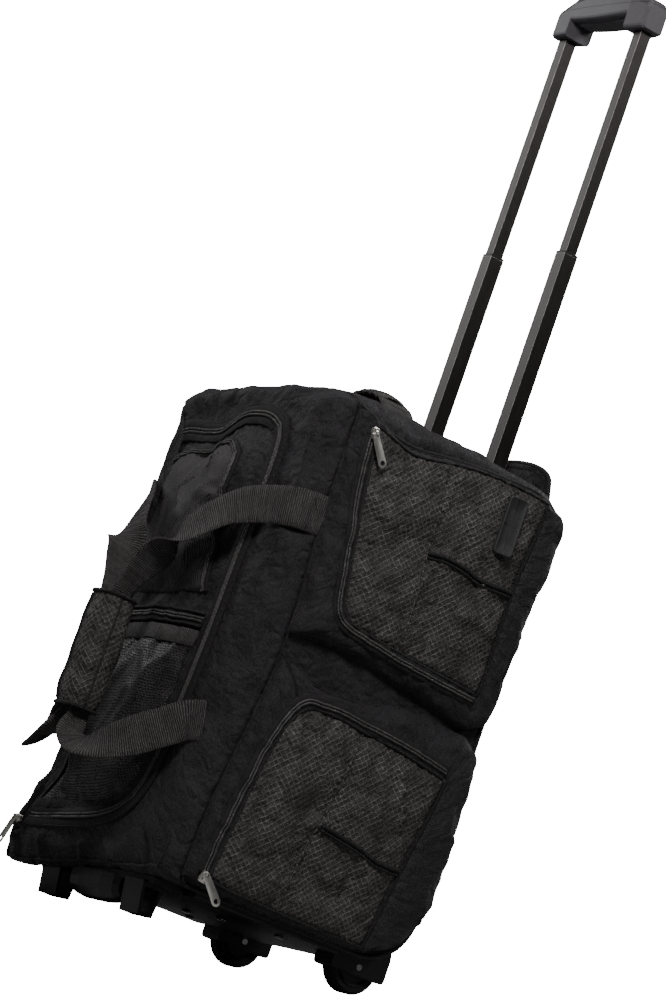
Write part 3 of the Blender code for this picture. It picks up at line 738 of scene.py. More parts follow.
def tube_finish():
    """Black-brown anodised tube with a painted highlight along its corners."""
    look = Look("anodised_tube", Metallic=0.75, Specular_IOR_Level=0.3)
    scale = look.add("Mapping")
    look.feed(scale.inputs["Vector"], look.solid())
    scale.inputs["Scale"].default_value = (1.0, 1.0, 0.04)
    drawn = look.noise(scale.outputs[0], 0.0011, 4, 0.6)
    broad = look.noise(look.solid(), 0.02, 5, 0.65)
    rounded = look.add("Bevel", samples=6)
    rounded.inputs["Radius"].default_value = 0.001
    turn = look.add("VectorMath", operation="DOT_PRODUCT")
    look.feed(turn.inputs[0], rounded.outputs[0])
    look.feed(turn.inputs[1], look.add("NewGeometry").outputs["Normal"])
    # Painted highlight: corners, where the bevelled normal turns from the true one, are painted pale.
    corner = look.spread(turn.outputs["Value"], 0.86, 0.97, 1.0, 0.0)
    corner_highlight = look.math("MULTIPLY", corner, look.spread(broad, 0.3, 0.55, 0.45, 1.0))
    tone = look.math("MULTIPLY_ADD", drawn, 0.05, look.math("MULTIPLY", broad, 0.03))
    look.colour(look.math("MULTIPLY_ADD", corner_highlight, 0.8, tone), (0.004, 0.003, 0.0028), (0.34, 0.3, 0.29))
    look.rough(drawn, 0.26, 0.42)
    look.bump(drawn, 0.00005, 0.5)
    return look.material


MATERIALS = {
    "cloth": polyester(),
    "lining": polyester("lining_cloth", (0.008, 0.008, 0.009), (0.034, 0.034, 0.037)),
    "ripstop": ripstop(),
    "knit": rib_knit(),
    "net": open_mesh(),
    "webbing": webbing(),
    "binding": webbing("binding_tape", 0.0012, (0.0015, 0.0012, 0.0015), (0.036, 0.033, 0.034)),
    "tape": tape(),
    "thread": moulded("sewing_thread", (0.009, 0.008, 0.009), (0.03, 0.027, 0.028), 0.5, 0.7, 0.0004),
    "teeth": moulded("zip_coil", (0.016, 0.015, 0.015), (0.075, 0.072, 0.07), 0.3, 0.45, 0.0006),
    "plastic": moulded("black_plastic", (0.002, 0.002, 0.0022), (0.01, 0.0098, 0.01), 0.38, 0.6),
    "grip": moulded("grip_plastic", (0.04, 0.037, 0.042), (0.085, 0.079, 0.088), 0.34, 0.5, 0.0007),
    "rubber": moulded("tyre_rubber", (0.006, 0.006, 0.006), (0.018, 0.018, 0.018), 0.65, 0.85),
    "label": moulded("label_rubber", (0.012, 0.012, 0.012), (0.026, 0.026, 0.026), 0.5, 0.65, 0.0005),
    "tube": tube_finish(),
    "nickel": metal("satin_nickel", (0.46, 0.44, 0.4), (0.8, 0.78, 0.74), 0.22, 0.4),
    "steel": metal("bright_steel", (0.3, 0.3, 0.31), (0.62, 0.62, 0.63), 0.18, 0.34),
}


def finish_slot(piece):
    return piece


# ---- the bag's body ----



def mm(*numbers):
    """Points in metres from pairs of whole millimetres."""
    return np.reshape(numbers, (-1, 2)) / 1000


# Each pair is (y, z) in SIDE_SEAM and TOP_EDGE, and (x, z) in the lid's outlines.
SIDE_SEAM = mm(-69, 507, -67, 490, -67, 395, -61, 300, -63, 235, -73, 160, -80, 100, -81, 48, -76, 36)
LID_TOP = mm(-117, 466, -100, 468, -60, 465, -29, 465, -10, 472, 10, 480, 35, 482, 60, 479, 80, 470)
LID_RIGHT = mm(80, 470, 87, 455, 89, 430, 88, 395, 83, 330, 81, 240, 78, 160, 71, 121, 58, 100)
LID_BOTTOM = mm(58, 100, 40, 89, 15, 80, -10, 75, -50, 70, -100, 66, -117, 67)
LID_LEFT = mm(-117, 67, -118, 90, -118, 440, -117, 466)
TOP_EDGE = mm(-69, 507, -40, 498, -12, 492, 11, 492, 42, 497, 79, 501, 128, 504, 145, 504)
SAG = 0.019  # how far the full bag pushes out its lower left front corner


def sag(x, z):
    """The share of the lower left front corner's sag at a place on the front."""
    return ramp(-z, -0.125, -0.062) * (1 - ramp(x, -0.118, 0.045))


def zip_y(x, z):
    """Where the lid's zip stands in Y: low at the fold, proud at the opening side."""
    out = ZIP_DEPTH_LEFT + (ZIP_DEPTH_RIGHT - ZIP_DEPTH_LEFT) * ramp(x, -0.118, 0.03)
    low = 0.005 * ramp(-z, -0.3, -0.1) * ramp(x, -0.118, -0.04)
    return FRONT_Y - out - low - SAG * sag(x, z)


def lid_loop(counts):
    sides = [spline(points, count + 1)[:-1] for points, count in
             zip((LID_TOP, LID_RIGHT, LID_BOTTOM, LID_LEFT), counts)]
    flat = np.concatenate(sides)
    return np.stack([flat[:, 0], zip_y(flat[:, 0], flat[:, 1]), flat[:, 1]], axis=1)


def top_bulge(x):
    return 0.0155 * (1 - (np.abs(x) / HALF_X) ** 4)


def front_panel():
    """The cloth round the lid: from the side seams, over the rounded front edges, to the zip."""
    counts = (44, 64, 44, 64)
    inner = lid_loop(counts)
    seam = spline(SIDE_SEAM, counts[1] + 1)
    right = np.stack([np.full(len(seam), HALF_X), seam[:, 0], seam[:, 1]], axis=1)
    left = right[::-1] * (-1, 1, 1)
    xs = np.linspace(-HALF_X, HALF_X, counts[0] + 1)
    top = np.stack([xs, np.full(len(xs), right[0, 1]), right[0, 2] + top_bulge(xs)], axis=1)
    bottom = np.stack([-xs, np.full(len(xs), right[-1, 1]), np.full(len(xs), right[-1, 2])], axis=1)
    outer = np.concatenate([side[:-1] for side in (top, right, bottom, left)])
    corner = outer.copy()
    sunk = sag(outer[:, 0], outer[:, 2])
    corner[:, 1] = -0.1 - 1.35 * SAG * sunk
    corner[:, 0] *= 1.0 + 0.02 * ramp(np.abs(corner[:, 0]), 0.1, 0.14)
    corner[:, 2] += 0.006 * ramp(corner[:, 2], 0.49, 0.52) - 0.012 * sunk
    rows = 15
    t = np.linspace(0, 1, rows)[:, None, None]
    points = outer * (1 - t) ** 2 + corner * 2 * t * (1 - t) + inner * t ** 2
    points[..., 2] -= 0.011 * sunk * np.sin(math.pi * np.minimum(2 * t[..., 0], 1))
    middle = np.sin(math.pi * t[..., 0]) * (1 - ramp(t[..., 0], 0.62, 0.86))
    low_right = ramp(-points[..., 2], -0.26, -0.08) * ramp(points[..., 0], 0.0, 0.08)
    points[..., 1] -= middle * (0.004 + 0.007 * low_right)
    relief = creases(points * (1, 1, 0.45), 0.085, 11) - 0.35
    points[..., 1] -= middle * 0.0045 * relief
    points[..., 0] += middle * 0.0012 * waves(points, 0.05, 12)
    panel = Sheet("front_panel", points, "cloth", closed=True)
    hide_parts("main_shell")
    held = np.zeros(points.shape[:2], bool)
    held[0], held[-3:] = True, True
    return panel, held


BACK_EDGE_Y = BACK_Y - 0.0115  # the piped edge; the back swells out between the two


def side_path():
    """The (y, z) outline of the gusset: over the top, down the back, under the bottom."""
    top = spline(TOP_EDGE, 40)
    back = [(BACK_EDGE_Y - 0.03 * (1 - math.sin(a)), TOP_Z - 0.0075 - 0.03 * (1 - math.cos(a)))
            for a in np.linspace(0.05, math.pi / 2, 10)]
    low = [(BACK_EDGE_Y - BOTTOM_BACK_RADIUS * (1 - math.cos(a)),
            BOTTOM_Z + BOTTOM_BACK_RADIUS * (1 - math.sin(a)))
           for a in np.linspace(0, math.pi / 2, 14)]
    outline = np.concatenate([top[:-1], back, [(BACK_EDGE_Y, 0.3)], low, [(SIDE_SEAM[-1][0], BOTTOM_Z)]])
    path = resample(outline, 150)
    path[:, 0] += 0.009 * ramp(path[:, 0], 0.15, 0.172) * ramp(path[:, 1], 0.34, 0.45)
    return path


SLOT_X = 0.085  # half the width of the tubes' slot
WHEEL_NEAR_X, WHEEL_FAR_X = 0.0865, 0.1215  # the gap for a wheel housing


def gusset(path):
    """The strip that runs over the top, down the back and under the bottom, with a slot for the tubes."""
    xs = np.unique(np.round(np.concatenate([
        np.linspace(-HALF_X, -WHEEL_FAR_X, 3), (-0.104, -WHEEL_NEAR_X), np.linspace(-SLOT_X, SLOT_X, 23),
        (WHEEL_NEAR_X, 0.104), np.linspace(WHEEL_FAR_X, HALF_X, 3)]), 5))
    count = len(path)
    points = np.zeros((count, len(xs), 3))
    points[..., 0] = xs
    points[..., 1] = path[:, :1]
    points[..., 2] = path[:, 1:]
    middle = 1 - (np.abs(xs) / HALF_X) ** 2.2
    y, z = path[:, :1], path[:, 1:]
    shoulder = (1 - (np.abs(xs) / HALF_X) ** 5) ** 0.6
    crown = np.interp(y, (-0.069, -0.045, 0.0, 0.035, 0.1, 0.125, 0.16, 0.178),
                      (0.5225, 0.529, 0.531, 0.529, 0.5245, 0.5215, 0.519, 0.5))
    slot_side = 1 - ramp(np.abs(xs), 0.088, 0.108)
    by_slot = slot_side * ramp(y, 0.098, 0.112)
    crown = crown * (1 - by_slot) + (TOP_Z + 0.0012) * by_slot
    on_top = ramp(z, 0.47, 0.487)
    points[..., 2] += on_top * np.maximum(crown - z, 0) * shoulder
    on_top = on_top * (1 - ramp(y, 0.085, 0.115))
    relief = creases(points * (0.6, 1, 1), 0.06, 21) - 0.3
    points[..., 2] += on_top * middle * 0.003 * relief
    on_back = ramp(-z, -0.47, -0.44) * ramp(z, 0.09, 0.12) * ramp(y, 0.16, 0.172)
    swell = ramp(y, 0.125, 0.172) * (1 - (np.abs(xs) / HALF_X) ** 7) ** 0.6
    points[..., 1] += swell * 0.0108 + on_back * middle * 0.0012 * (0.4 + waves(points, 0.09, 22))

    def keep(i, j):
        across = (xs[j] + xs[j + 1]) / 2
        at = (path[i] + path[i + 1]) / 2
        slot = at[1] > 0.49 and 0.118 < at[0] < 0.16 and abs(across) < SLOT_X
        wheel = at[1] < 0.1 and at[0] > 0.105 and WHEEL_NEAR_X < abs(across) < WHEEL_FAR_X
        plate = at[1] < 0.04 and -0.055 < at[0] < 0.15 and abs(across) < WHEEL_NEAR_X
        return not (slot or wheel or plate)

    strip = Sheet("gusset_strip", points, "cloth", keep=keep)
    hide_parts("back_cover")
    held = np.ones(points.shape[:2], bool)
    free = (path[:, 1] > 0.47) & (path[:, 0] > -0.062) & (path[:, 0] < 0.095)
    held[np.ix_(free, (np.abs(xs) < 0.135))] = False
    return strip, held


def side_panel(side, path):
    """The flat cloth behind the side pockets."""
    seam = spline(SIDE_SEAM, 61)
    rows = []
    for y, z in seam:
        reach = [p for p in path if abs(p[1] - z) < 0.006 and p[0] > 0.1]
        far = max((p[0] for p in reach), default=0.128)
        if z > 0.497:
            far = 0.155
        rows.append([(side * HALF_X, y + (far - y) * t, z) for t in np.linspace(0, 1, 45)])
    points = np.array(rows)
    low = np.interp(points[..., 1], path[:60, 0], path[:60, 1])
    points[..., 2] = np.minimum(points[..., 2], low + 0.001)
    points[..., 0] += side * 0.0008 * waves(points, 0.05, 31)
    return Sheet(f"side_panel_{'right' if side > 0 else 'left'}", points, "cloth")


# ---- side pockets ----

# Each edge is a (y, z) outline of the right-hand pocket; "base" edges lie on the bag's side.
UPPER = {
    "front": mm(-53, 493, -54, 479, -49, 434, -38, 370, -29, 326, -23, 316),
    "low": mm(-23, 316, -15, 310, -2, 306, 36, 302, 145, 294),
    "back": mm(145, 294, 147, 314, 146, 399, 149, 438, 155, 496),
    "high": mm(155, 496, 128, 498, 79, 497, 42, 492, 11, 486, -12, 484, -35, 489, -53, 493),
    "base_front": mm(-68, 504, -67, 395, -62, 329, -62, 284),
    "base_low": mm(-62, 284, -27, 289, 22, 287, 86, 278, 145, 269, 164, 276),
    "base_back": mm(164, 276, 172, 290, 175, 380, 182, 470, 175, 491, 154, 502),
    "base_high": mm(154, 502, 128, 503, 79, 500, 42, 496, 11, 491, -12, 490, -40, 498, -68, 504),
    "stem": mm(36, 488, 44, 397, 47, 302),
    "mouth": mm(44, 404, 64, 406, 83, 405, 110, 401, 145, 403),
}
LOWER = {
    "front": mm(-36, 223, -47, 201, -56, 163, -63, 108, -69, 60, -69, 48),
    "low": mm(-69, 48, -49, 45, 7, 43, 60, 42, 116, 42),
    "back": mm(116, 42, 126, 114, 139, 180, 146, 222),
    "high": mm(146, 222, 90, 230, 46, 233, 15, 236, -14, 235, -27, 231, -36, 223),
    "base_front": mm(-59, 262, -65, 222, -72, 167, -79, 111, -83, 44),
    "base_low": mm(-83, 44, -49, 39, 53, 37, 100, 37, 128, 40),
    "base_back": mm(128, 40, 153, 56, 169, 85, 174, 120, 174, 230, 169, 248, 155, 260),
    "base_high": mm(155, 260, 92, 264, 36, 252, -10, 249, -35, 256, -59, 262),
    "stem": mm(44, 233, 31, 149, 20, 90, 16, 43),
    "mouth": mm(30, 131, 50, 129, 75, 124, 100, 119, 126, 120),
}
FACE_X = 0.1555
ZIP_SET_BACK = 0.0068  # from the zip to the edge of the pocket's face
POCKET_COUNTS = (40, 44, 40, 44)  # columns along the front, low, back and high edges


def rim_mask(shape):
    """The points round the edge of a grid, which the simulation holds."""
    held = np.zeros(shape, bool)
    held[0], held[-1], held[:, 0], held[:, -1] = True, True, True, True
    return held


def soft_rim(shape, steepness):
    """U and V from 0 to 1 across a grid, and a height that rises from 0 at its rim to 1."""
    v, u = np.meshgrid(np.linspace(0, 1, shape[0]), np.linspace(0, 1, shape[1]), indexing="ij")
    rim = np.clip(np.minimum(np.minimum(u, 1 - u), np.minimum(v, 1 - v)) * steepness, 0, 1)
    return u, v, rim * (2 - rim)


def coons(low, high, left, right):
    """A grid filled in between four edges. low and high run from left to right, the others upwards."""
    u = np.linspace(0, 1, len(low))[None, :, None]
    v = np.linspace(0, 1, len(left))[:, None, None]
    ruled = low[None] * (1 - v) + high[None] * v + left[:, None] * (1 - u) + right[:, None] * u
    plain = ((low[0] * (1 - u) + low[-1] * u) * (1 - v) + (high[0] * (1 - u) + high[-1] * u) * v)
    return ruled - plain


def pocket_edges(name, edges):
    """The face's four edges. Those beside the zip stand back from it by half the tape."""
    sides = {key: spline(edges[key], count + 1) for key, count in
             zip(("front", "low", "back", "high"), POCKET_COUNTS)}
    middle = np.array((0.045, 0.39 if "upper" in name else 0.14))
    beside = ("front", "low") if "upper" in name else ("high", "front")
    joined = np.concatenate([sides[beside[0]][:-1], sides[beside[1]]])
    ahead = tangents(joined)
    across = np.stack([-ahead[:, 1], ahead[:, 0]], axis=1)
    across *= np.sign((across * (middle - joined)).sum(axis=1).mean())
    moved = joined + across * ZIP_SET_BACK
    count = len(sides[beside[0]]) - 1
    sides[beside[0]], sides[beside[1]] = moved[:count + 1], moved[count:]
    order = ("front", "low", "back", "high")
    ends = {key: sides[key] for key in order}
    for here, after in zip(order, order[1:] + order[:1]):
        if (here, after) == beside:
            continue
        corner = (ends[here][-1] + ends[after][0]) / 2
        if here in beside:
            corner = ends[here][-1]
        elif after in beside:
            corner = ends[after][0]
        for key, at in ((here, -1), (after, 0)):
            shift = corner - ends[key][at]
            fade = np.linspace(0, 1, len(ends[key]))[:, None] ** 2
            ends[key] = ends[key] + shift * (fade if at == -1 else fade[::-1])
    return tuple(ends[key] for key in order)


def pocket(name, edges, side, seed):
    """One side pocket: a ripstop face and the plain cloth that wraps round its edge to the bag."""
    front, low, back, high = pocket_edges(name, edges)
    flat = coons(low, high[::-1], front[::-1], back)
    _, v, soft = soft_rim(flat.shape[:2], 6)
    y, z = flat[..., 0], flat[..., 1]
    points = np.stack([np.zeros_like(y), y, z], axis=-1)
    slant = np.stack([points[..., 0], points[..., 1] + 0.6 * points[..., 2],
                      (points[..., 2] - 0.6 * points[..., 1]) * 0.3], axis=-1)
    depth = 0.0035 * soft + 0.005 * soft * (creases(slant, 0.05, seed) - 0.4)
    points[..., 0] = side * (FACE_X + depth)
    face = Sheet(f"{name}_face", points, "ripstop")
    spread = flat - flat[0, 0]
    layer = face.piece.data.uv_layers["weave"]
    loops = np.zeros(len(face.piece.data.loops), int)
    face.piece.data.loops.foreach_get("vertex_index", loops)
    layer.data.foreach_set("uv", spread.reshape(-1, 2)[loops].ravel())
    held = rim_mask(y.shape)
    stem = np.interp(v[:, 0], (0, 1), (0.47, 0.52))
    for i in range(len(v)):
        held[i, int(round(stem[i] * (flat.shape[1] - 1)))] = i % 2 == 0

    rim_loop = np.concatenate([front[:-1], low[:-1], back[:-1], high[:-1]])
    base_loop = np.concatenate([spline(edges["base_" + key], count + 1)[:-1] for key, count in
                                zip(("front", "low", "back", "high"), POCKET_COUNTS)])
    rows = 10
    t = np.linspace(0, 1, rows)[:, None, None]
    rim3 = np.insert(rim_loop, 0, side * FACE_X, axis=1)
    base3 = np.insert(base_loop, 0, side * (HALF_X + 0.0004), axis=1)
    reach = np.linalg.norm(rim_loop - base_loop, axis=1)[:, None]
    columns = np.arange(len(rim_loop))
    first = POCKET_COUNTS[0] + POCKET_COUNTS[1]
    behind = np.sin(math.pi * np.clip((columns - first + 4) / (POCKET_COUNTS[2] + 8), 0, 1))[:, None] ** 0.5
    share = 0.55 + 0.42 * ramp(reach, 0.012, 0.03) + 0.55 * behind
    shoulder = np.insert(rim_loop + (base_loop - rim_loop) * share, 0, side * (FACE_X + 0.0015), axis=1)
    wrap = rim3 * (1 - t) ** 2 + shoulder * 2 * t * (1 - t) + base3 * t ** 2
    relief = creases(wrap * (1, 1, 0.8), 0.035, seed + 1) - 0.35
    wrap[..., 0] += side * 0.003 * np.sin(math.pi * t[..., 0]) * relief * ramp(reach[:, 0], 0.008, 0.02)
    cover = Sheet(f"{name}_gusset", wrap, "cloth", closed=True)
    still = np.zeros(wrap.shape[:2], bool)
    still[0], still[-1] = True, True
    return face, held, cover, still


def loop_path(cover, first, last, across):
    """A path along a pocket's wrap between two columns, at a share of the way to the bag."""
    columns = cover.points.shape[1]
    at = np.arange(first, last + 1)
    rows = cover.points.shape[0] - 1
    i = min(int(across * rows), rows - 1)
    f = across * rows - i
    ring = cover.points[i] * (1 - f) + cover.points[i + 1] * f
    normals = cover.normals()
    out = normals[i] * (1 - f) + normals[i + 1] * f
    return ring[at % columns], unit(out[at % columns])


def beside_rim(cover, first, last, distance):
    """A path along a pocket's wrap that keeps its distance from the face's edge."""
    at = np.arange(first, last + 1) % cover.points.shape[1]
    rows = cover.points[:, at]
    outs = cover.normals()[:, at]
    steps = np.linalg.norm(np.diff(rows, axis=0), axis=2)
    along = np.concatenate([np.zeros((1, len(at))), np.cumsum(steps, axis=0)])
    places, normals = [], []
    for j in range(len(at)):
        share = min(distance, along[-1, j] * 0.8)
        places.append([np.interp(share, along[:, j], rows[:, j, k]) for k in range(3)])
        normals.append([np.interp(share, along[:, j], outs[:, j, k]) for k in range(3)])
    return np.array(places), unit(np.array(normals))


def face_at(face, flat_points):
    """Points on a pocket's face nearest to the given (y, z) points, with normals."""
    grid, normals = face.points, face.normals()
    places, outs = [], []
    for y, z in flat_points:
        near, out = weighted(grid, normals, (grid[..., 1] - y) ** 2 + (grid[..., 2] - z) ** 2, 6, 1e-8)
        places.append((near[0], y, z))
        outs.append(out)
    return np.array(places), unit(np.array(outs))


def pocket_trim(name, edges, side, face, cover):
    n_front, n_low, n_back, n_high = POCKET_COUNTS
    total = sum(POCKET_COUNTS)
    upper = "upper" in name
    zip_columns = (2, n_front + n_low - 1) if upper else (-n_high + 1, n_front - 1)
    path, out = beside_rim(cover, *zip_columns, ZIP_SET_BACK)
    path, out = resample(path, 160), unit(resample(out, 160) + (side * 0.8, 0, 0))
    ups = ribbon(f"{name}_zip_tape", path, out, 0.0005, 0.0125, 0.0009)
    zip_chain(f"{name}_zip_coil", path + ups * 0.0009, ups)
    rim, rim_out = loop_path(cover, *zip_columns, 0.0)
    rim_out = unit(rim_out + (side * 1.2, 0, 0))
    finish_slot(cord_along(f"{name}_binding", rim, rim_out, 0.0019, "binding"))
    stitches(f"{name}_binding_thread", resample(rim, 200) + unit(resample(rim_out, 200)) * 0.0017,
             unit(resample(rim_out, 200)), pitch=0.0033, length=0.0028, girth=0.0013)
    outer, outer_out = beside_rim(cover, *zip_columns, 0.0135)
    stitches(f"{name}_zip_thread", outer, outer_out, pitch=0.003)
    back = (n_front + n_low, n_front + n_low + n_back)
    edge, edge_out = loop_path(cover, *back, 0.02)
    edge_out = unit(edge_out + (side * 1.5, 0, 0))
    cord_along(f"{name}_back_seam", edge, edge_out, 0.0013, "binding")
    inner, inner_out = loop_path(cover, *back, 0.1)
    stitches(f"{name}_back_thread", inner, inner_out, pitch=0.0036, length=0.0028)
    plain = (n_front + n_low + n_back, total) if upper else (n_front, n_front + n_low)
    rest, rest_out = loop_path(cover, *plain, 0.03)
    cord_along(f"{name}_plain_seam", rest, unit(rest_out + (side * 1.0, 0, 0)), 0.0014, "binding")
    ring, ring_out = loop_path(cover, 0, total - 1, 0.96)
    cord_along(f"{name}_base_seam", ring, unit(ring_out + (side * 0.8, 0, 0)), 0.0012, "cloth", closed=True)
    stem, stem_out = face_at(face, spline(edges["stem"], 60))
    cord_along(f"{name}_stem_seam", stem, stem_out, 0.0012, "ripstop", sink=0.35)
    stitches(f"{name}_stem_thread", stem + (0, 0.003, 0), stem_out, girth=0.0006)
    mouth, mouth_out = face_at(face, spline(edges["mouth"], 50))
    for i, (drop, radius) in enumerate(((0.0, 0.0021), (-0.0042, 0.0013))):
        cord_along(f"{name}_slit_{i + 1}", mouth + (side * 0.0004, 0, drop), mouth_out, radius, "binding")


# ---- lid ----


LID_FOOT, LID_HEAD = 0.067, 0.4815  # its lowest and highest Z
LID_FOLD_X, LID_FREE_X = -0.1175, 0.08
LID_TURN_X = 0.058  # where its right edge starts to turn into the bottom one


def lid_sheet():
    """The lid as one domed sheet. Columns run across it, rows from the bottom up."""
    rows = 60
    heights = LID_FOOT + (LID_HEAD - LID_FOOT) * (0.5 - 0.5 * np.cos(np.linspace(0, math.pi, rows)))
    heights = 0.35 * heights + 0.65 * np.linspace(LID_FOOT, LID_HEAD, rows)
    right = spline(LID_RIGHT, 200)
    top = spline(LID_TOP, 200)
    bottom = spline(LID_BOTTOM, 200)[::-1]
    us = np.linspace(0, 1, 46)
    points = np.zeros((rows, len(us), 3))
    for j, u in enumerate(us):
        x_guess = -0.1172 + u * 0.205
        z_top = np.interp(min(x_guess, LID_FREE_X), top[:, 0], top[:, 1])
        z_low = np.interp(min(x_guess, LID_TURN_X), bottom[:, 0], bottom[:, 1])
        share = (heights - LID_FOOT) / (LID_HEAD - LID_FOOT)
        z = z_low + (z_top - z_low) * share
        edge = np.interp(-z, -right[:, 1], right[:, 0])
        limit = np.where(z > 0.47, LID_FREE_X, np.where(z < 0.1, LID_TURN_X, edge))
        x = LID_FOLD_X + u * (limit - LID_FOLD_X)
        points[:, j, 0] = x
        points[:, j, 2] = z
    for j in range(len(us)):
        x = points[:, j, 0]
        z_top = np.interp(x[-1], top[:, 0], top[:, 1])
        z_low = np.interp(x[0], bottom[:, 0], bottom[:, 1])
        share = (points[:, j, 2] - points[0, j, 2]) / (points[-1, j, 2] - points[0, j, 2])
        points[:, j, 2] = z_low + (z_top - z_low) * share
    x, z = points[..., 0], points[..., 2]
    u = np.linspace(0, 1, len(us))[None]
    v = np.linspace(0, 1, rows)[:, None]
    dome = ramp(1 - np.abs(2 * u - 1), 0.04, 0.55) * ramp(1 - np.abs(2 * v - 1), 0.02, 0.35)
    points[..., 1] = zip_y(x, z) - 0.0095 * dome
    relief = creases(points * (1, 1, 0.7), 0.07, 41) - 0.35
    points[..., 1] -= 0.0035 * dome * relief
    sheet = Sheet("lid_panel", points, "cloth", "lid")
    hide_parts("main_lid")
    held = np.zeros((rows, len(us)), bool)
    held[:2], held[-2:], held[:, :2], held[:, -3:] = True, True, True, True
    seam = int(np.argmin(np.abs(points[:, 20, 2] - 0.272)))
    held[seam] = True
    return sheet, held


def on_lid(lid, flat):
    """Points on the lid, or on a pocket's sheet on it, at (x, z) places, with normals."""
    grid, normals = lid.points, lid.normals()
    shape = np.asarray(flat).shape[:-1]
    places, outs = [], []
    for x, z in np.asarray(flat).reshape(-1, 2):
        near, out = weighted(grid, normals, (grid[..., 0] - x) ** 2 + (grid[..., 2] - z) ** 2, 5, 2e-7)
        places.append((x, near[1], z))
        outs.append(out)
    return np.array(places).reshape(*shape, 3), unit(np.array(outs)).reshape(*shape, 3)


def lid_pocket(name, node, lid, left, right, low, high, kind, puff, seed):
    """A mesh pocket on the lid, filled in between four edges given in (x, z)."""
    columns, rows = 44, 40
    flat = coons(spline(low, columns), spline(high, columns), spline(left, rows), spline(right, rows))
    points, out = on_lid(lid, flat)
    soft = soft_rim((rows, columns), 5)[2]
    relief = creases(points * (1, 1, 0.6), 0.05, seed) - 0.3
    points = points + out * (0.0012 + soft * (puff + 0.003 * relief))[..., None]
    sheet = Sheet(f"{name}_cloth", points, kind, "lid")
    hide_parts(node)
    return sheet, rim_mask(soft.shape)


ARCH_FOLD_X = -0.111  # the mesh pockets start here, beside the lid's fold


def lid_parts():
    """Mesh pockets' outlines on the lid, in (x, z)."""
    upper = dict(left=[(ARCH_FOLD_X, 0.302), (ARCH_FOLD_X, 0.38), (ARCH_FOLD_X, 0.438)],
                 right=[(0.054, 0.302), (0.049, 0.34), (0.04, 0.39), (0.0395, 0.42),
                        (0.035, 0.437)],
                 low=[(ARCH_FOLD_X, 0.302), (-0.03, 0.2985), (0.054, 0.302)],
                 high=[(ARCH_FOLD_X, 0.438), (-0.07, 0.441), (-0.0396, 0.441), (0.0, 0.45),
                       (0.02, 0.447), (0.035, 0.437)])
    lower = dict(left=[(ARCH_FOLD_X, 0.079), (ARCH_FOLD_X, 0.15), (ARCH_FOLD_X, 0.25)],
                 right=[(0.048, 0.108), (0.06, 0.13), (0.065, 0.17), (0.067, 0.21),
                        (0.066, 0.25)],
                 low=[(ARCH_FOLD_X, 0.079), (-0.04, 0.083), (0.01, 0.091), (0.048, 0.108)],
                 high=[(ARCH_FOLD_X, 0.25), (-0.03, 0.253), (0.066, 0.25)])
    return upper, lower


def near_sheet(sheet, wanted):
    """The sheet's points nearest to the wanted ones, with normals."""
    grid, normals = sheet.points, sheet.normals()
    places, outs = [], []
    for point in wanted:
        near, out = weighted(grid, normals, ((grid - point) ** 2).sum(axis=-1), 6, 2e-6)
        places.append(point + out * ((near - point) @ out))
        outs.append(out)
    return np.array(places), unit(np.array(outs))


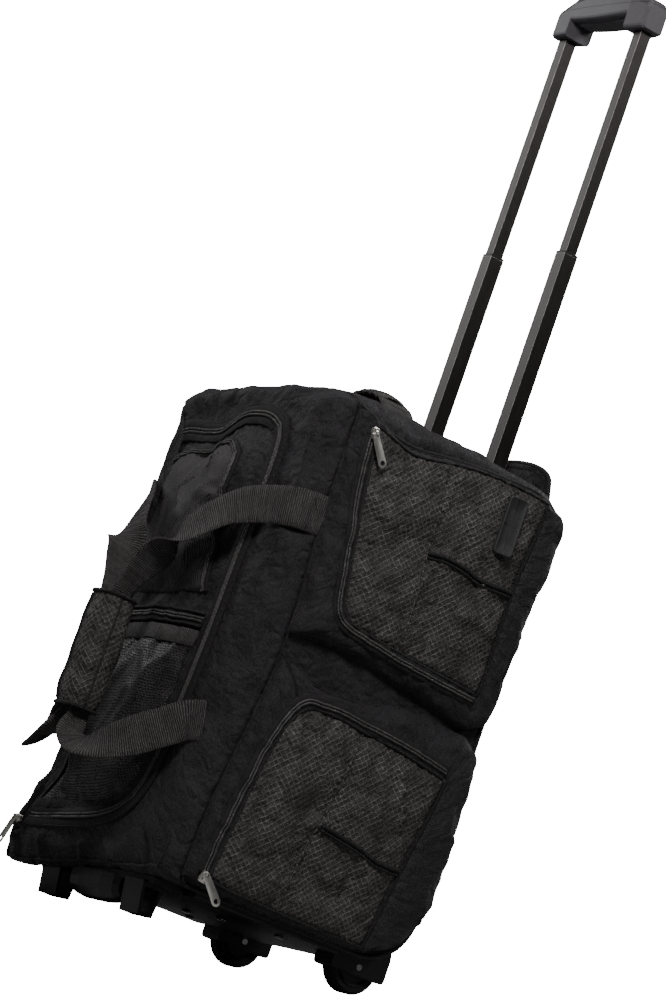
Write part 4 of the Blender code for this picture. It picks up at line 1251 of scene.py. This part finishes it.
def lid_trim(lid, panel, upper, lower, up_sheet):
    """Tape, coils, seams and stitches of the lid's own zip and of its two mesh pockets."""
    counts = (90, 130, 90, 130)
    path = lid_loop(counts)[:sum(counts[:3]) - 1]
    flat_side, _ = frames_from(path, np.tile((0.0, -1.0, 0.0), (len(path), 1)))
    inward = flat_side * np.sign((flat_side * (np.array((-0.01, 0.0, 0.27)) - path)).sum())
    inner, inner_out = on_lid(lid, (path + inward * 0.006)[:, [0, 2]])
    outer, outer_out = near_sheet(panel, path - inward * 0.006)
    ups = unit(inner_out + outer_out)
    for name, places, outs, body, away in (("lid_zip_tape", inner, inner_out, "lid", inward),
                                           ("frame_zip_tape", outer, outer_out, "bag", -inward)):
        lifts = ribbon(name, places, outs, 0.0012, 0.0105, 0.0011, body=body)
        stitches(name + "_thread", places + away * 0.0036 + lifts * 0.0022, lifts, body)
    zip_chain("lid_zip_coil", path + ups * 0.0014, ups, "lid", width=0.0066)
    fold_z = np.linspace(0.069, 0.464, 50)
    fold = np.stack([np.full(50, -0.121), FRONT_Y - 0.0042 - SAG * sag(-0.121, fold_z), fold_z], axis=1)
    hinge = Sheet("lid_fold_strip", np.stack([fold + (dx, dy, 0) for dx, dy in
                  ((-0.008, 0.0026), (-0.005, 0.0008), (-0.002, -0.0002), (0.001, -0.0008),
                   (0.004, -0.0014), (0.008, -0.0026))], axis=1), "cloth", body=None)
    hinge.thicken(0.0012)
    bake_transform(hinge.piece)

    for tag, edges in (("upper_mesh", upper), ("lower_mesh", lower)):
        arch = np.concatenate([spline(edges["right"], 70)[:-1], spline(edges["high"], 90)[::-1]])
        if tag == "lower_mesh":
            arch = np.concatenate([spline(edges["low"], 90)[:-1], spline(edges["right"], 70)])
        places, normals = on_lid(lid, arch)
        ups = ribbon(f"{tag}_edge_tape", places, normals, 0.001, 0.0105, 0.0016, body="lid")
        if tag == "upper_mesh":
            zip_chain(f"{tag}_zip_coil", places + ups * 0.0022, ups, "lid", width=0.005)
        else:
            stitches(f"{tag}_thread", places + ups * 0.0024, ups, "lid")
    across = np.stack([np.linspace(ARCH_FOLD_X, 0.07, 70), 0.274 + 0.002 * np.sin(
        np.linspace(0, 3.0, 70))], axis=1)
    places, normals = on_lid(lid, across)
    ups = ribbon("lower_mesh_zip_tape", places, normals, 0.002, 0.015, 0.0012, body="lid")
    zip_chain("lower_mesh_zip_coil", places + ups * 0.003, ups, "lid", width=0.006)
    for i, drop in enumerate((-0.0062, 0.0062)):
        cord_along(f"lower_mesh_zip_welt_{i + 1}", places + ups * 0.003 + (0, 0, drop), ups,
                   0.0013, "binding", "lid")
    ribbon("lid_band", *on_lid(lid, across - (0, 0.0185)), 0.003, 0.0165, 0.0014, "webbing", "lid")
    for row, (start, end) in enumerate((((-0.1, 0.366), (0.008, 0.433)),
                                        ((-0.08, 0.319), (0.028, 0.39)))):
        for twin in (0.0, 0.0034):
            line = np.linspace(start, end, 60) + (0, twin)
            places, normals = on_lid(up_sheet, line)
            stitches(f"knit_eyelets_{row + 1}_{'a' if twin else 'b'}", places, normals, "lid",
                     length=0.0016, girth=0.0013, lift=0.0001)


def label(face):
    """The blank rubber patch with a raised rim on the upper right pocket."""
    outline = rounded_corners([(0.106, 0.43, 0.003), (0.1275, 0.431, 0.003), (0.129, 0.4885, 0.003),
                               (0.1075, 0.4875, 0.003)], 5)
    outline = resample(np.concatenate([outline, outline[:1]]), 90)[:-1]
    centre = outline.mean(axis=0)
    near = face.points.reshape(-1, 3)
    near = near[(np.abs(near[:, 1] - centre[0]) < 0.014) & (np.abs(near[:, 2] - centre[1]) < 0.032)]
    terms = np.stack([np.ones(len(near)), near[:, 1], near[:, 2]], axis=1)
    plane = np.linalg.lstsq(terms, near[:, 0], rcond=None)[0]
    proud = max(0.0, float((near[:, 0] - terms @ plane).max())) * 0.6
    rings = []
    for inset, lift, scale in ((0.0, -0.002, 1.0), (0.0, 0.0011, 1.0), (0.0004, 0.0015, 1.0),
                               (0.0013, 0.0015, 1.0), (0.0017, 0.001, 1.0), (0.0017, 0.001, 0.5),
                               (0.0017, 0.001, 0.002)):
        ring = outline - np.clip(outline - centre, -inset, inset)
        ring = centre + (ring - centre) * scale
        x = plane[0] + plane[1] * ring[:, 0] + plane[2] * ring[:, 1] + proud + lift
        rings.append(np.insert(ring, 0, x, axis=1))
    patch = Sheet("label_blank", np.array(rings), "label", closed=True)
    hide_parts("label_patch")
    finish_slot(patch.piece)


# ---- straps ----


RIB_PITCH = 0.0016


def ribbed_strap(name, route, depth=0.0026, crumple=0.0):
    """Webbing with raised cross ribs. The route lists (point, width direction, half width)."""
    centres = np.array([entry[0] for entry in route], float)
    widths = np.array([unit(np.array(entry[1], float)) * entry[2] for entry in route])
    both = spline(np.concatenate([centres, widths], axis=1), 400)
    length = path_length(both[:, :3])
    count = int(length / RIB_PITCH) * 3
    steps = np.concatenate([[0], np.cumsum(np.linalg.norm(np.diff(both[:, :3], axis=0), axis=1))])
    at = np.linspace(0, steps[-1], count)
    both = np.stack([np.interp(at, steps, both[:, k]) for k in range(6)], axis=1)
    path, wide = both[:, :3], both[:, 3:]
    ahead = tangents(path)
    half = np.linalg.norm(wide, axis=1)
    wide = unit(wide - ahead * (wide * ahead).sum(axis=1, keepdims=True))
    up = unit(np.cross(ahead, wide))
    ribs = np.where(np.arange(count) % 3 == 0, 0.00022, 0.0)
    across = np.array([-1, -0.96, -0.7, -0.35, 0, 0.35, 0.7, 0.96, 1])
    lift = np.array([0.15, 0.8, 1, 0.92, 0.9, 0.92, 1, 0.8, 0.15])
    sections = []
    for i in range(count):
        cup = crumple * (across ** 2 - 0.4) * math.sin(i * 0.021)
        top = [(half[i] * a, depth / 2 * h + ribs[i] * (h > 0.5) + c) for a, h, c in zip(across, lift, cup)]
        under = [(half[i] * a, -depth / 2 * h - ribs[i] * (h > 0.5) + c) for a, h, c in
                 zip(across[::-1], lift[::-1], cup[::-1])]
        sections.append(top + under)
    piece = sweep(name, path, wide, up, sections, "webbing")
    return finish_slot(piece)


def box_stitch(name, centre, ahead, wide, out, length, width):
    """A sewn box with a cross in it."""
    ahead, wide, out = unit(np.array(ahead)), unit(np.array(wide)), unit(np.array(out))
    corners = [centre + ahead * a * length / 2 + wide * w * width / 2
               for a, w in ((-1, -1), (1, -1), (1, 1), (-1, 1))]
    lines = [(0, 1), (1, 2), (2, 3), (3, 0), (0, 2), (1, 3)]
    places = []
    for a, b in lines:
        start, end = corners[a], corners[b]
        along = unit(end - start)
        side = unit(np.cross(along, out))
        count = max(2, int(np.linalg.norm(end - start) / 0.0032))
        for t in (np.arange(count) + 0.5) / count:
            places.append((start + (end - start) * t, along * 0.0025, side * 0.0008, out * 0.0009))
    return stamp(name, places, "thread")


STRAP_Y = -0.1665  # where the carry straps meet inside their wrap


def carry_handles():
    wide, up, back = 0.019, (0, 0, 1), (0, 1, 0)
    right = [
        ((0.142, -0.064, 0.396), up, wide), ((0.142, -0.076, 0.396), up, wide),
        ((0.133, -0.096, 0.395), up, wide), ((0.105, -0.112, 0.39), (0, 0.1, 1), wide),
        ((0.08, -0.128, 0.378), (0, 0.3, 1), wide), ((0.05, -0.148, 0.345), (0.3, 0.5, 1), wide),
        ((0.03, -0.16, 0.313), (0.5, 0.8, 0.7), 0.0165),
        ((0.013, STRAP_Y, 0.282), back, 0.011), ((0.0078, STRAP_Y, 0.255), back, 0.0085),
        ((0.0078, STRAP_Y, 0.185), back, 0.0085), ((0.01, STRAP_Y, 0.156), back, 0.011),
        ((0.02, -0.173, 0.137), (0, 1, 0.3), 0.014), ((0.045, -0.17, 0.13), (0, 0.7, 0.8), 0.017),
        ((0.074, -0.15, 0.145), (0, 0.2, 1), wide), ((0.097, -0.126, 0.166), (0, 0.1, 1), wide),
        ((0.11, -0.1125, 0.178), up, wide), ((0.123, -0.103, 0.182), up, wide),
    ]
    for side_name, side in (("right", 1), ("left", -1)):
        route = [((side * p[0], p[1], p[2]), (side * d[0], d[1], d[2]), half) for p, d, half in right]
        strap = ribbed_strap(f"carry_strap_{side_name}", route, crumple=0.0012)
        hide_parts(f"carry_handle_{side_name}")
        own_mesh(strap)
        for place in ("upper", "lower"):
            low = place == "lower"
            centre = (side * 0.115, -0.11, 0.18) if low else (side * 0.1437, -0.0745, 0.396)
            ahead, out = ((side * 0.8, 0.6, 0.2), (side * 0.6, -0.8, 0)) if low else ((0, 1, 0), (side, 0, 0))
            box_stitch(f"strap_stitch_{place}_{side_name}", np.array(centre), ahead, (0, 0, 1), out,
                       0.016, 0.028)


def wrap():
    """The padded sleeve round both carry handles: ripstop, closed with a fold-over flap."""
    rows, around = 34, 44
    low, high = 0.163, 0.273
    points = np.zeros((rows, around, 3))
    for i, t in enumerate(np.linspace(0, 1, rows)):
        z = low + (high - low) * t
        belly = 1 + 0.1 * math.sin(math.pi * t) - 0.05 * math.cos(6 * math.pi * t) * (1 - t)
        for j, a in enumerate(np.linspace(0, 2 * math.pi, around, endpoint=False)):
            c, s = math.cos(a), math.sin(a)
            radius = (abs(c) ** 3.2 + abs(s) ** 3.2) ** (-1 / 3.2)
            fold = 1 + 0.035 * math.sin(3 * a + 9 * t) * math.sin(math.pi * t)
            points[i, j] = (0.0185 * radius * c * belly * fold,
                            STRAP_Y + 0.0178 * radius * s * belly * fold, z)
    sleeve = Sheet("wrap_sleeve", points, "ripstop", closed=True, core=(0, STRAP_Y, 0.218))
    turned = [sleeve.piece]
    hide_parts("wrap_grip")
    finish_slot(sleeve.piece)
    sleeve.thicken(0.003)
    for tag, z in (("low", low), ("high", high)):
        ring = points[0 if tag == "low" else -1]
        out = unit(ring - np.array((0, STRAP_Y, z)))
        turned.append(finish_slot(cord_along(f"wrap_edge_{tag}", ring, out, 0.0019, "binding",
                                             closed=True)))
    line = points[1:-1, 30]
    out = unit((line - (0, STRAP_Y, 0)) * (1, 1, 0))
    turned.append(finish_slot(cord_along("wrap_flap_edge", line, out, 0.0016, "binding")))
    for piece in turned:
        for modifier in list(piece.modifiers):
            with bpy.context.temp_override(object=piece, active_object=piece):
                bpy.ops.object.modifier_apply(modifier=modifier.name)
        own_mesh(piece)


def end_handle():
    heights = ((-0.07, 0.527), (-0.061, 0.53), (-0.05, 0.534), (-0.036, 0.545),
               (-0.02, 0.552), (0.0, 0.554), (0.02, 0.552), (0.036, 0.545), (0.05, 0.534),
               (0.061, 0.53), (0.07, 0.527))
    route = [((x, 0.031, z), (0, 1, 0), 0.019 - 0.003 * (abs(x) < 0.03)) for x, z in heights]
    strap = ribbed_strap("end_strap", route, depth=0.003)
    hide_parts("top_grab_handle")
    around = []
    for i, x in enumerate(np.linspace(-0.032, 0.032, 40)):
        z = 0.554 - 0.0075 * (x / 0.034) ** 2
        end = 1 - 0.25 * abs(x / 0.032) ** 8
        around.append([(x, 0.031 + 0.0172 * end * math.cos(a),
                        z + 0.0056 * end * math.sin(a) + 0.0006 * math.sin(i * 0.9))
                       for a in np.linspace(0, 2 * math.pi, 28, endpoint=False)])
    pad = Sheet("end_strap_pad", np.array(around), "ripstop", closed=True, core=(0, 0.031, 0.554))
    finish_slot(pad.piece)
    for side in (-1, 1):
        box_stitch(f"end_strap_stitch_{'right' if side > 0 else 'left'}",
                   np.array((side * 0.062, 0.031, 0.5312)), (1, 0, 0), (0, 1, 0), (0, 0, 1),
                   0.014, 0.028)


def hood():
    """The stiff flap behind the tubes, bound round its edge."""
    columns, rows = 50, 18
    xs = np.linspace(-1, 1, columns)
    points = np.zeros((rows, columns, 3))
    for i, v in enumerate(np.linspace(0, 1, rows)):
        height = 0.029 * (1 - np.abs(xs) ** 5) ** 0.5 + 0.0015
        z = TOP_Z - 0.008 + (height + 0.008) * v
        y = 0.175 - 0.002 * v ** 2 - 0.002 * (1 - xs ** 2) * v + 0.001 * np.sin(9 * xs) * v
        points[i] = np.stack([xs * 0.122, y, z], axis=1)
    flap = Sheet("hood_flap", points, "cloth")
    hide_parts("handle_hood")
    flap.thicken(0.004)
    edge = np.concatenate([points[:, 0], points[-1, 1:-1], points[::-1, -1]])
    edge = resample(edge, 160)
    out = unit(np.stack([edge[:, 0] * 0.3, np.full(160, 0.004), edge[:, 2] - 0.5], axis=1))
    finish_slot(cord_along("hood_binding", edge + (0, -0.0018, 0), out, 0.0026, "binding"))
    stitches("hood_thread", edge + (0, -0.004, -0.0045), np.tile((0, -1.0, 0), (160, 1)))


# ---- zip pulls ----


def smooth_plate(outline, depth, bevel):
    """A flat plate in X and Y with a rounded rim, as (verts, faces)."""
    outline = np.asarray(outline, float)
    inward = []
    n = len(outline)
    for i in range(n):
        edge = unit(outline[(i + 1) % n] - outline[i - 1])
        inward.append((-edge[1], edge[0]))
    inward = np.array(inward)
    rings = [(bevel, 0.0), (bevel * 0.3, bevel * 0.3), (0, bevel), (0, depth - bevel),
             (bevel * 0.3, depth - bevel * 0.3), (bevel, depth)]
    return [np.insert(outline + inward * inset, 2, z - depth / 2, axis=1) for inset, z in rings]


def band(work, low, high):
    """Faces between two closed loops of vertices."""
    for i in range(len(low)):
        k = (i + 1) % len(low)
        work.faces.new((low[i], low[k], high[k], high[i]))


def finished(work, name):
    bmesh.ops.recalc_face_normals(work, faces=work.faces)
    mesh = bpy.data.meshes.new(name)
    work.to_mesh(mesh)
    work.free()
    return mesh


def tab_shape():
    """A pull tab along +X from its eye: rounded ends and a round hole at the far end."""
    length, half, hole, depth = 0.032, 0.0046, 0.0024, 0.0018
    outline = rounded_corners([(-0.0022, -half * 0.72, 0.003), (length * 0.35, -half * 0.86, 0.05),
                               (length, -half, half * 0.98), (length, half, half * 0.98),
                               (length * 0.35, half * 0.86, 0.05), (-0.0022, half * 0.72, 0.003)], 6)
    rings = smooth_plate(outline, depth, 0.0004)
    work = bmesh.new()
    loops = [[work.verts.new(p) for p in ring] for ring in rings]
    for a, b in zip(loops, loops[1:]):
        band(work, a, b)
    spans = []
    for top, level in ((loops[0], -depth / 2), (loops[-1], depth / 2)):
        far = [work.verts.new((length - half * 1.12 + hole * math.cos(a), hole * math.sin(a), level))
               for a in np.linspace(0, 2 * math.pi, 24, endpoint=False)]
        near = [work.verts.new((0.0014 + 0.0015 * math.cos(a), 0.0015 * 1.5 * math.sin(a), level))
                for a in np.linspace(0, 2 * math.pi, 16, endpoint=False)]
        edges = []
        for ring in (top, far, near):
            for i in range(len(ring)):
                pair = (ring[i], ring[(i + 1) % len(ring)])
                edges.append(work.edges.get(pair) or work.edges.new(pair))
        bmesh.ops.triangle_fill(work, use_beauty=True, edges=edges)
        spans.append((far, near))
    for low, high in zip(*spans):
        band(work, high, low)
    return finished(work, "tab")


def place_mesh(name, mesh, matrix, body, kind):
    """A copy of a mesh at a place, smooth except across edges of 35 degrees and more."""
    own = mesh.copy()
    own.transform(matrix)
    own.shade_smooth()
    own.set_sharp_from_angle(angle=math.radians(35))
    own.materials.append(MATERIALS[kind])
    piece = bpy.data.objects.new(name, own)
    bpy.context.scene.collection.objects.link(piece)
    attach(piece, body)
    return finish_slot(piece)


# ---- putting it together ----


def build_bag():
    path = side_path()
    panel, panel_held = front_panel()
    strip, strip_held = gusset(path)
    lid, lid_held = lid_sheet()
    upper, lower = lid_parts()
    jobs = [(panel, panel_held, dict(pressure=1.2, slack=0.02, cap=0.006, gravity=0.15)),
            (strip, strip_held, dict(pressure=1.0, slack=0.02, cap=0.006, gravity=0.15)),
            (lid, lid_held, dict(pressure=1.0, slack=0.02, cap=0.005, gravity=0.15))]
    pockets = []
    for side_name, side in (("right", 1), ("left", -1)):
        side_panel(side, path).thicken()
        for height, edges, seed in (("upper", UPPER, 51), ("lower", LOWER, 61)):
            name = f"{height}_{side_name}"
            face, held, cover, still = pocket(name, edges, side, seed)
            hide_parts(f"{height}_{side_name}_pocket")
            jobs.append((face, held, dict(pressure=1.6, slack=0.035, cap=0.006, gravity=0.3)))
            jobs.append((cover, still, dict(pressure=0.8, slack=0.02, cap=0.003)))
            pockets.append((name, edges, side, face, cover))
    simulate(jobs)
    up_sheet, up_held = lid_pocket("upper_mesh", "upper_mesh_pocket", lid, kind="knit", puff=0.0035,
                                   seed=71, **upper)
    low_sheet, low_held = lid_pocket("lower_mesh", "lower_mesh_pocket", lid, kind="net", puff=0.0045,
                                     seed=72, **lower)
    simulate([(up_sheet, up_held, dict(pressure=1.0, slack=0.03, cap=0.004)),
              (low_sheet, low_held, dict(pressure=1.0, slack=0.03, cap=0.004))])
    for name, edges, side, face, cover in pockets:
        pocket_trim(name, edges, side, face, cover)
        if name == "upper_right":
            label(face)
        finish_slot(face.piece)
        finish_slot(cover.piece)
        face.thicken(0.001)
        cover.thicken(0.001)
    lid_trim(lid, panel, upper, lower, up_sheet)
    for sheet, kind in ((panel, "cloth"), (strip, "cloth"), (lid, "cloth"), (up_sheet, "knit"),
                        (low_sheet, "net")):
        sheet.thicken(0.0011)
        finish_slot(sheet.piece)
    for side_name, side in (("right", 1), ("left", -1)):
        edge = strip.points[:, -1 if side > 0 else 0]
        out = unit(np.stack([np.full(len(edge), side * 0.7), edge[:, 1] - 0.05, edge[:, 2] - 0.27], axis=1)
                   * (0.12, 1, 1))
        finish_slot(cord_along(f"outline_piping_{side_name}", edge, out, PIPING_R, "binding"))
        seam = spline(SIDE_SEAM, 120)
        line = np.stack([np.full(120, side * (HALF_X + 0.0008)), seam[:, 0], seam[:, 1]], axis=1)
        cord_along(f"front_seam_{side_name}", line, np.tile((side, -0.6, 0), (120, 1)), 0.0012, "binding")
    low = panel.points[5, 104:156]
    cord_along("front_low_piping", low, np.tile((0, -0.8, -0.6), (len(low), 1)), 0.0019, "binding")
    top = panel.points[0, :45]
    cord_along("front_top_seam", top, np.tile((0, -0.3, 1), (45, 1)), 0.0016, "binding")
    return panel, strip, lid


def lining():
    """The inside of the main compartment, seen when the lid is open."""
    mouth = lid_loop((40, 60, 40, 60))
    middle = np.array((-0.015, 0.0, 0.27))
    inward = unit((middle - mouth) * (1, 0, 1))
    wall = mouth.copy()
    half_width, half_height, mid_z = 0.1365, 0.233, 0.274
    ratio = np.maximum(np.abs(wall[:, 0] / half_width), np.abs((wall[:, 2] - mid_z) / half_height))
    wall[:, 0] = wall[:, 0] / ratio
    wall[:, 2] = (wall[:, 2] - mid_z) / ratio + mid_z
    rings = [mouth + inward * 0.0045 + (0, 0.0012, 0), mouth + inward * 0.005 + (0, 0.004, 0)]
    for t in np.linspace(0, 1, 6)[1:]:
        ring = mouth * (1 - t) + wall * t
        ring[:, 1] = (mouth[:, 1] + 0.004) * (1 - t) + (FRONT_Y + 0.006) * t + 0.002
        rings.append(ring)
    for y in np.linspace(FRONT_Y + 0.012, 0.108, 16):
        ring = wall.copy()
        ring[:, 1] = y
        ring += unit((middle - wall) * (1, 0, 1)) * 0.003 * creases(ring, 0.08, 81)[:, None]
        rings.append(ring)
    for share in (0.97, 0.85, 0.65, 0.45, 0.25, 0.02):
        ring = middle + (wall - middle) * share
        ring[:, 1] = 0.1085 - 0.0015 * waves(ring * (1, 0, 1), 0.12, 82)
        rings.append(ring)
    sheet = Sheet("main_lining", np.array(rings), "lining", closed=True)
    finish_slot(sheet.piece)


def slider_shape():
    """A zip slider along +X: two rounded plates on a post, with a bridge over the top."""
    work = bmesh.new()

    def plate(z, depth, length, half):
        corners = [(-length * 0.5, half * 0.62, 0.0012), (length * 0.16, half, 0.0018),
                   (length * 0.5, half * 0.8, 0.0012)]
        outline = rounded_corners([(u, -v, radius) for u, v, radius in corners] + corners[::-1], 4)
        loops = [[work.verts.new((p[0], p[1], p[2] + z)) for p in ring]
                 for ring in smooth_plate(outline, depth, 0.00028)]
        for a, b in zip(loops, loops[1:]):
            band(work, a, b)
        work.faces.new(loops[0][::-1])
        work.faces.new(loops[-1])

    plate(-0.0013, 0.001, 0.0105, 0.0041)
    plate(0.0009, 0.0011, 0.0112, 0.0043)
    plate(-0.0002, 0.0018, 0.0042, 0.0016)
    arch = [(-0.0042, 0.0012), (-0.004, 0.0022), (-0.0022, 0.003), (0.0, 0.0032), (0.0022, 0.003),
            (0.004, 0.0022), (0.0042, 0.0012)]
    line = spline([(x, 0.0, z) for x, z in arch], 22)
    section = rounded_corners([(-1, -1, 0.4), (1, -1, 0.4), (1, 1, 0.4), (-1, 1, 0.4)], 3)
    loops = []
    for point, direction in zip(line, tangents(line)):
        up = np.array((-direction[2], 0, direction[0]))
        loops.append([work.verts.new(tuple(point + np.array((0, 1, 0)) * c * 0.0013 + up * d * 0.00055))
                      for c, d in section])
    for a, b in zip(loops, loops[1:]):
        band(work, b, a)
    work.faces.new(loops[0])
    work.faces.new(loops[-1][::-1])
    return finished(work, "slider")


def own_axes(node):
    """A CAD solid's middle and its long, wide and thin directions."""
    flat = np.zeros(len(node.data.vertices) * 3, np.float32)
    node.data.vertices.foreach_get("co", flat)
    points = flat.reshape(-1, 3).astype(float)
    _, vectors = np.linalg.eigh(np.cov((points - points.mean(axis=0)).T))
    axes = vectors.T[::-1]
    reach = [((points @ a).min(), (points @ a).max()) for a in axes]
    middle = sum(a * (low + high) / 2 for a, (low, high) in zip(axes, reach))
    return middle, axes, [high - low for low, high in reach]


def zip_pulls():
    tab, slider = tab_shape(), slider_shape()
    nodes = frame["nodes"]
    for base in ("upper_right_zip", "lower_right_zip", "upper_left_zip", "lower_left_zip", "main_zip",
                 "upper_mesh_zip", "lower_mesh_zip"):
        slider_node, tab_node = f"{base}_slider", f"{base}_tab"
        seat, seat_axes, _ = own_axes(nodes[slider_node])
        middle, axes, size = own_axes(nodes[tab_node])
        long = axes[0] * np.sign((middle - seat) @ axes[0])
        thin = axes[2] * np.sign((middle - np.array(BAG_MIDDLE)) @ axes[2])
        eye = middle - long * (size[0] / 2 - 0.0022)
        turn = np.stack([long, np.cross(thin, long), thin], axis=1)
        piece = place_mesh(f"{base}_pull", tab, frame_matrix(turn, eye), tab_node, "nickel")
        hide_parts(tab_node)
        out = outward(seat)
        flat = unit(seat_axes[0] - out * (seat_axes[0] @ out))
        turn = np.stack([flat, np.cross(out, flat), out], axis=1)
        piece = place_mesh(f"{base}_runner", slider, frame_matrix(turn, seat), slider_node, "nickel")
        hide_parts(slider_node)


def outward(place):
    """The way the bag's surface faces at a zip: to the side on the pockets, forwards on the lid."""
    if abs(place[0]) > HALF_X:
        return np.array((np.sign(place[0]), 0.0, 0.0))
    return np.array((0.0, -1.0, 0.0))


def frame_matrix(turn, place):
    matrix = Matrix(turn.tolist()).to_4x4()
    matrix.translation = Vector(place)
    return matrix


def dress_nodes():
    """Better materials for the moulded and metal CAD parts that stay."""
    kinds = {"base_tray": "plastic", "base_rivet": "steel", "front_stand": "plastic",
             "wheel_housing": "plastic", "axle": "steel", "tube_base_bracket": "plastic",
             "tube_bezel": "plastic", "fixed_tube": "tube", "middle_tube": "tube", "inner_tube": "tube",
             "stage_glide": "plastic", "grip_upper": "grip", "grip_lower": "grip",
             "release_trigger": "grip", "release_rod": "steel", "tyre": "rubber", "wheel_hub": "plastic",
             "label_patch": "label"}
    for name, node in frame["nodes"].items():
        found = [kind for start, kind in kinds.items() if name.startswith(start)]
        if name.endswith(("_slider", "_tab")):
            found = ["nickel"]
        if found:
            node.data.materials.clear()
            node.data.materials.append(MATERIALS[found[-1]])


make_camera()
make_lights()
make_floor()
build_bag()
carry_handles()
wrap()
end_handle()
hood()
lining()
zip_pulls()
dress_nodes()
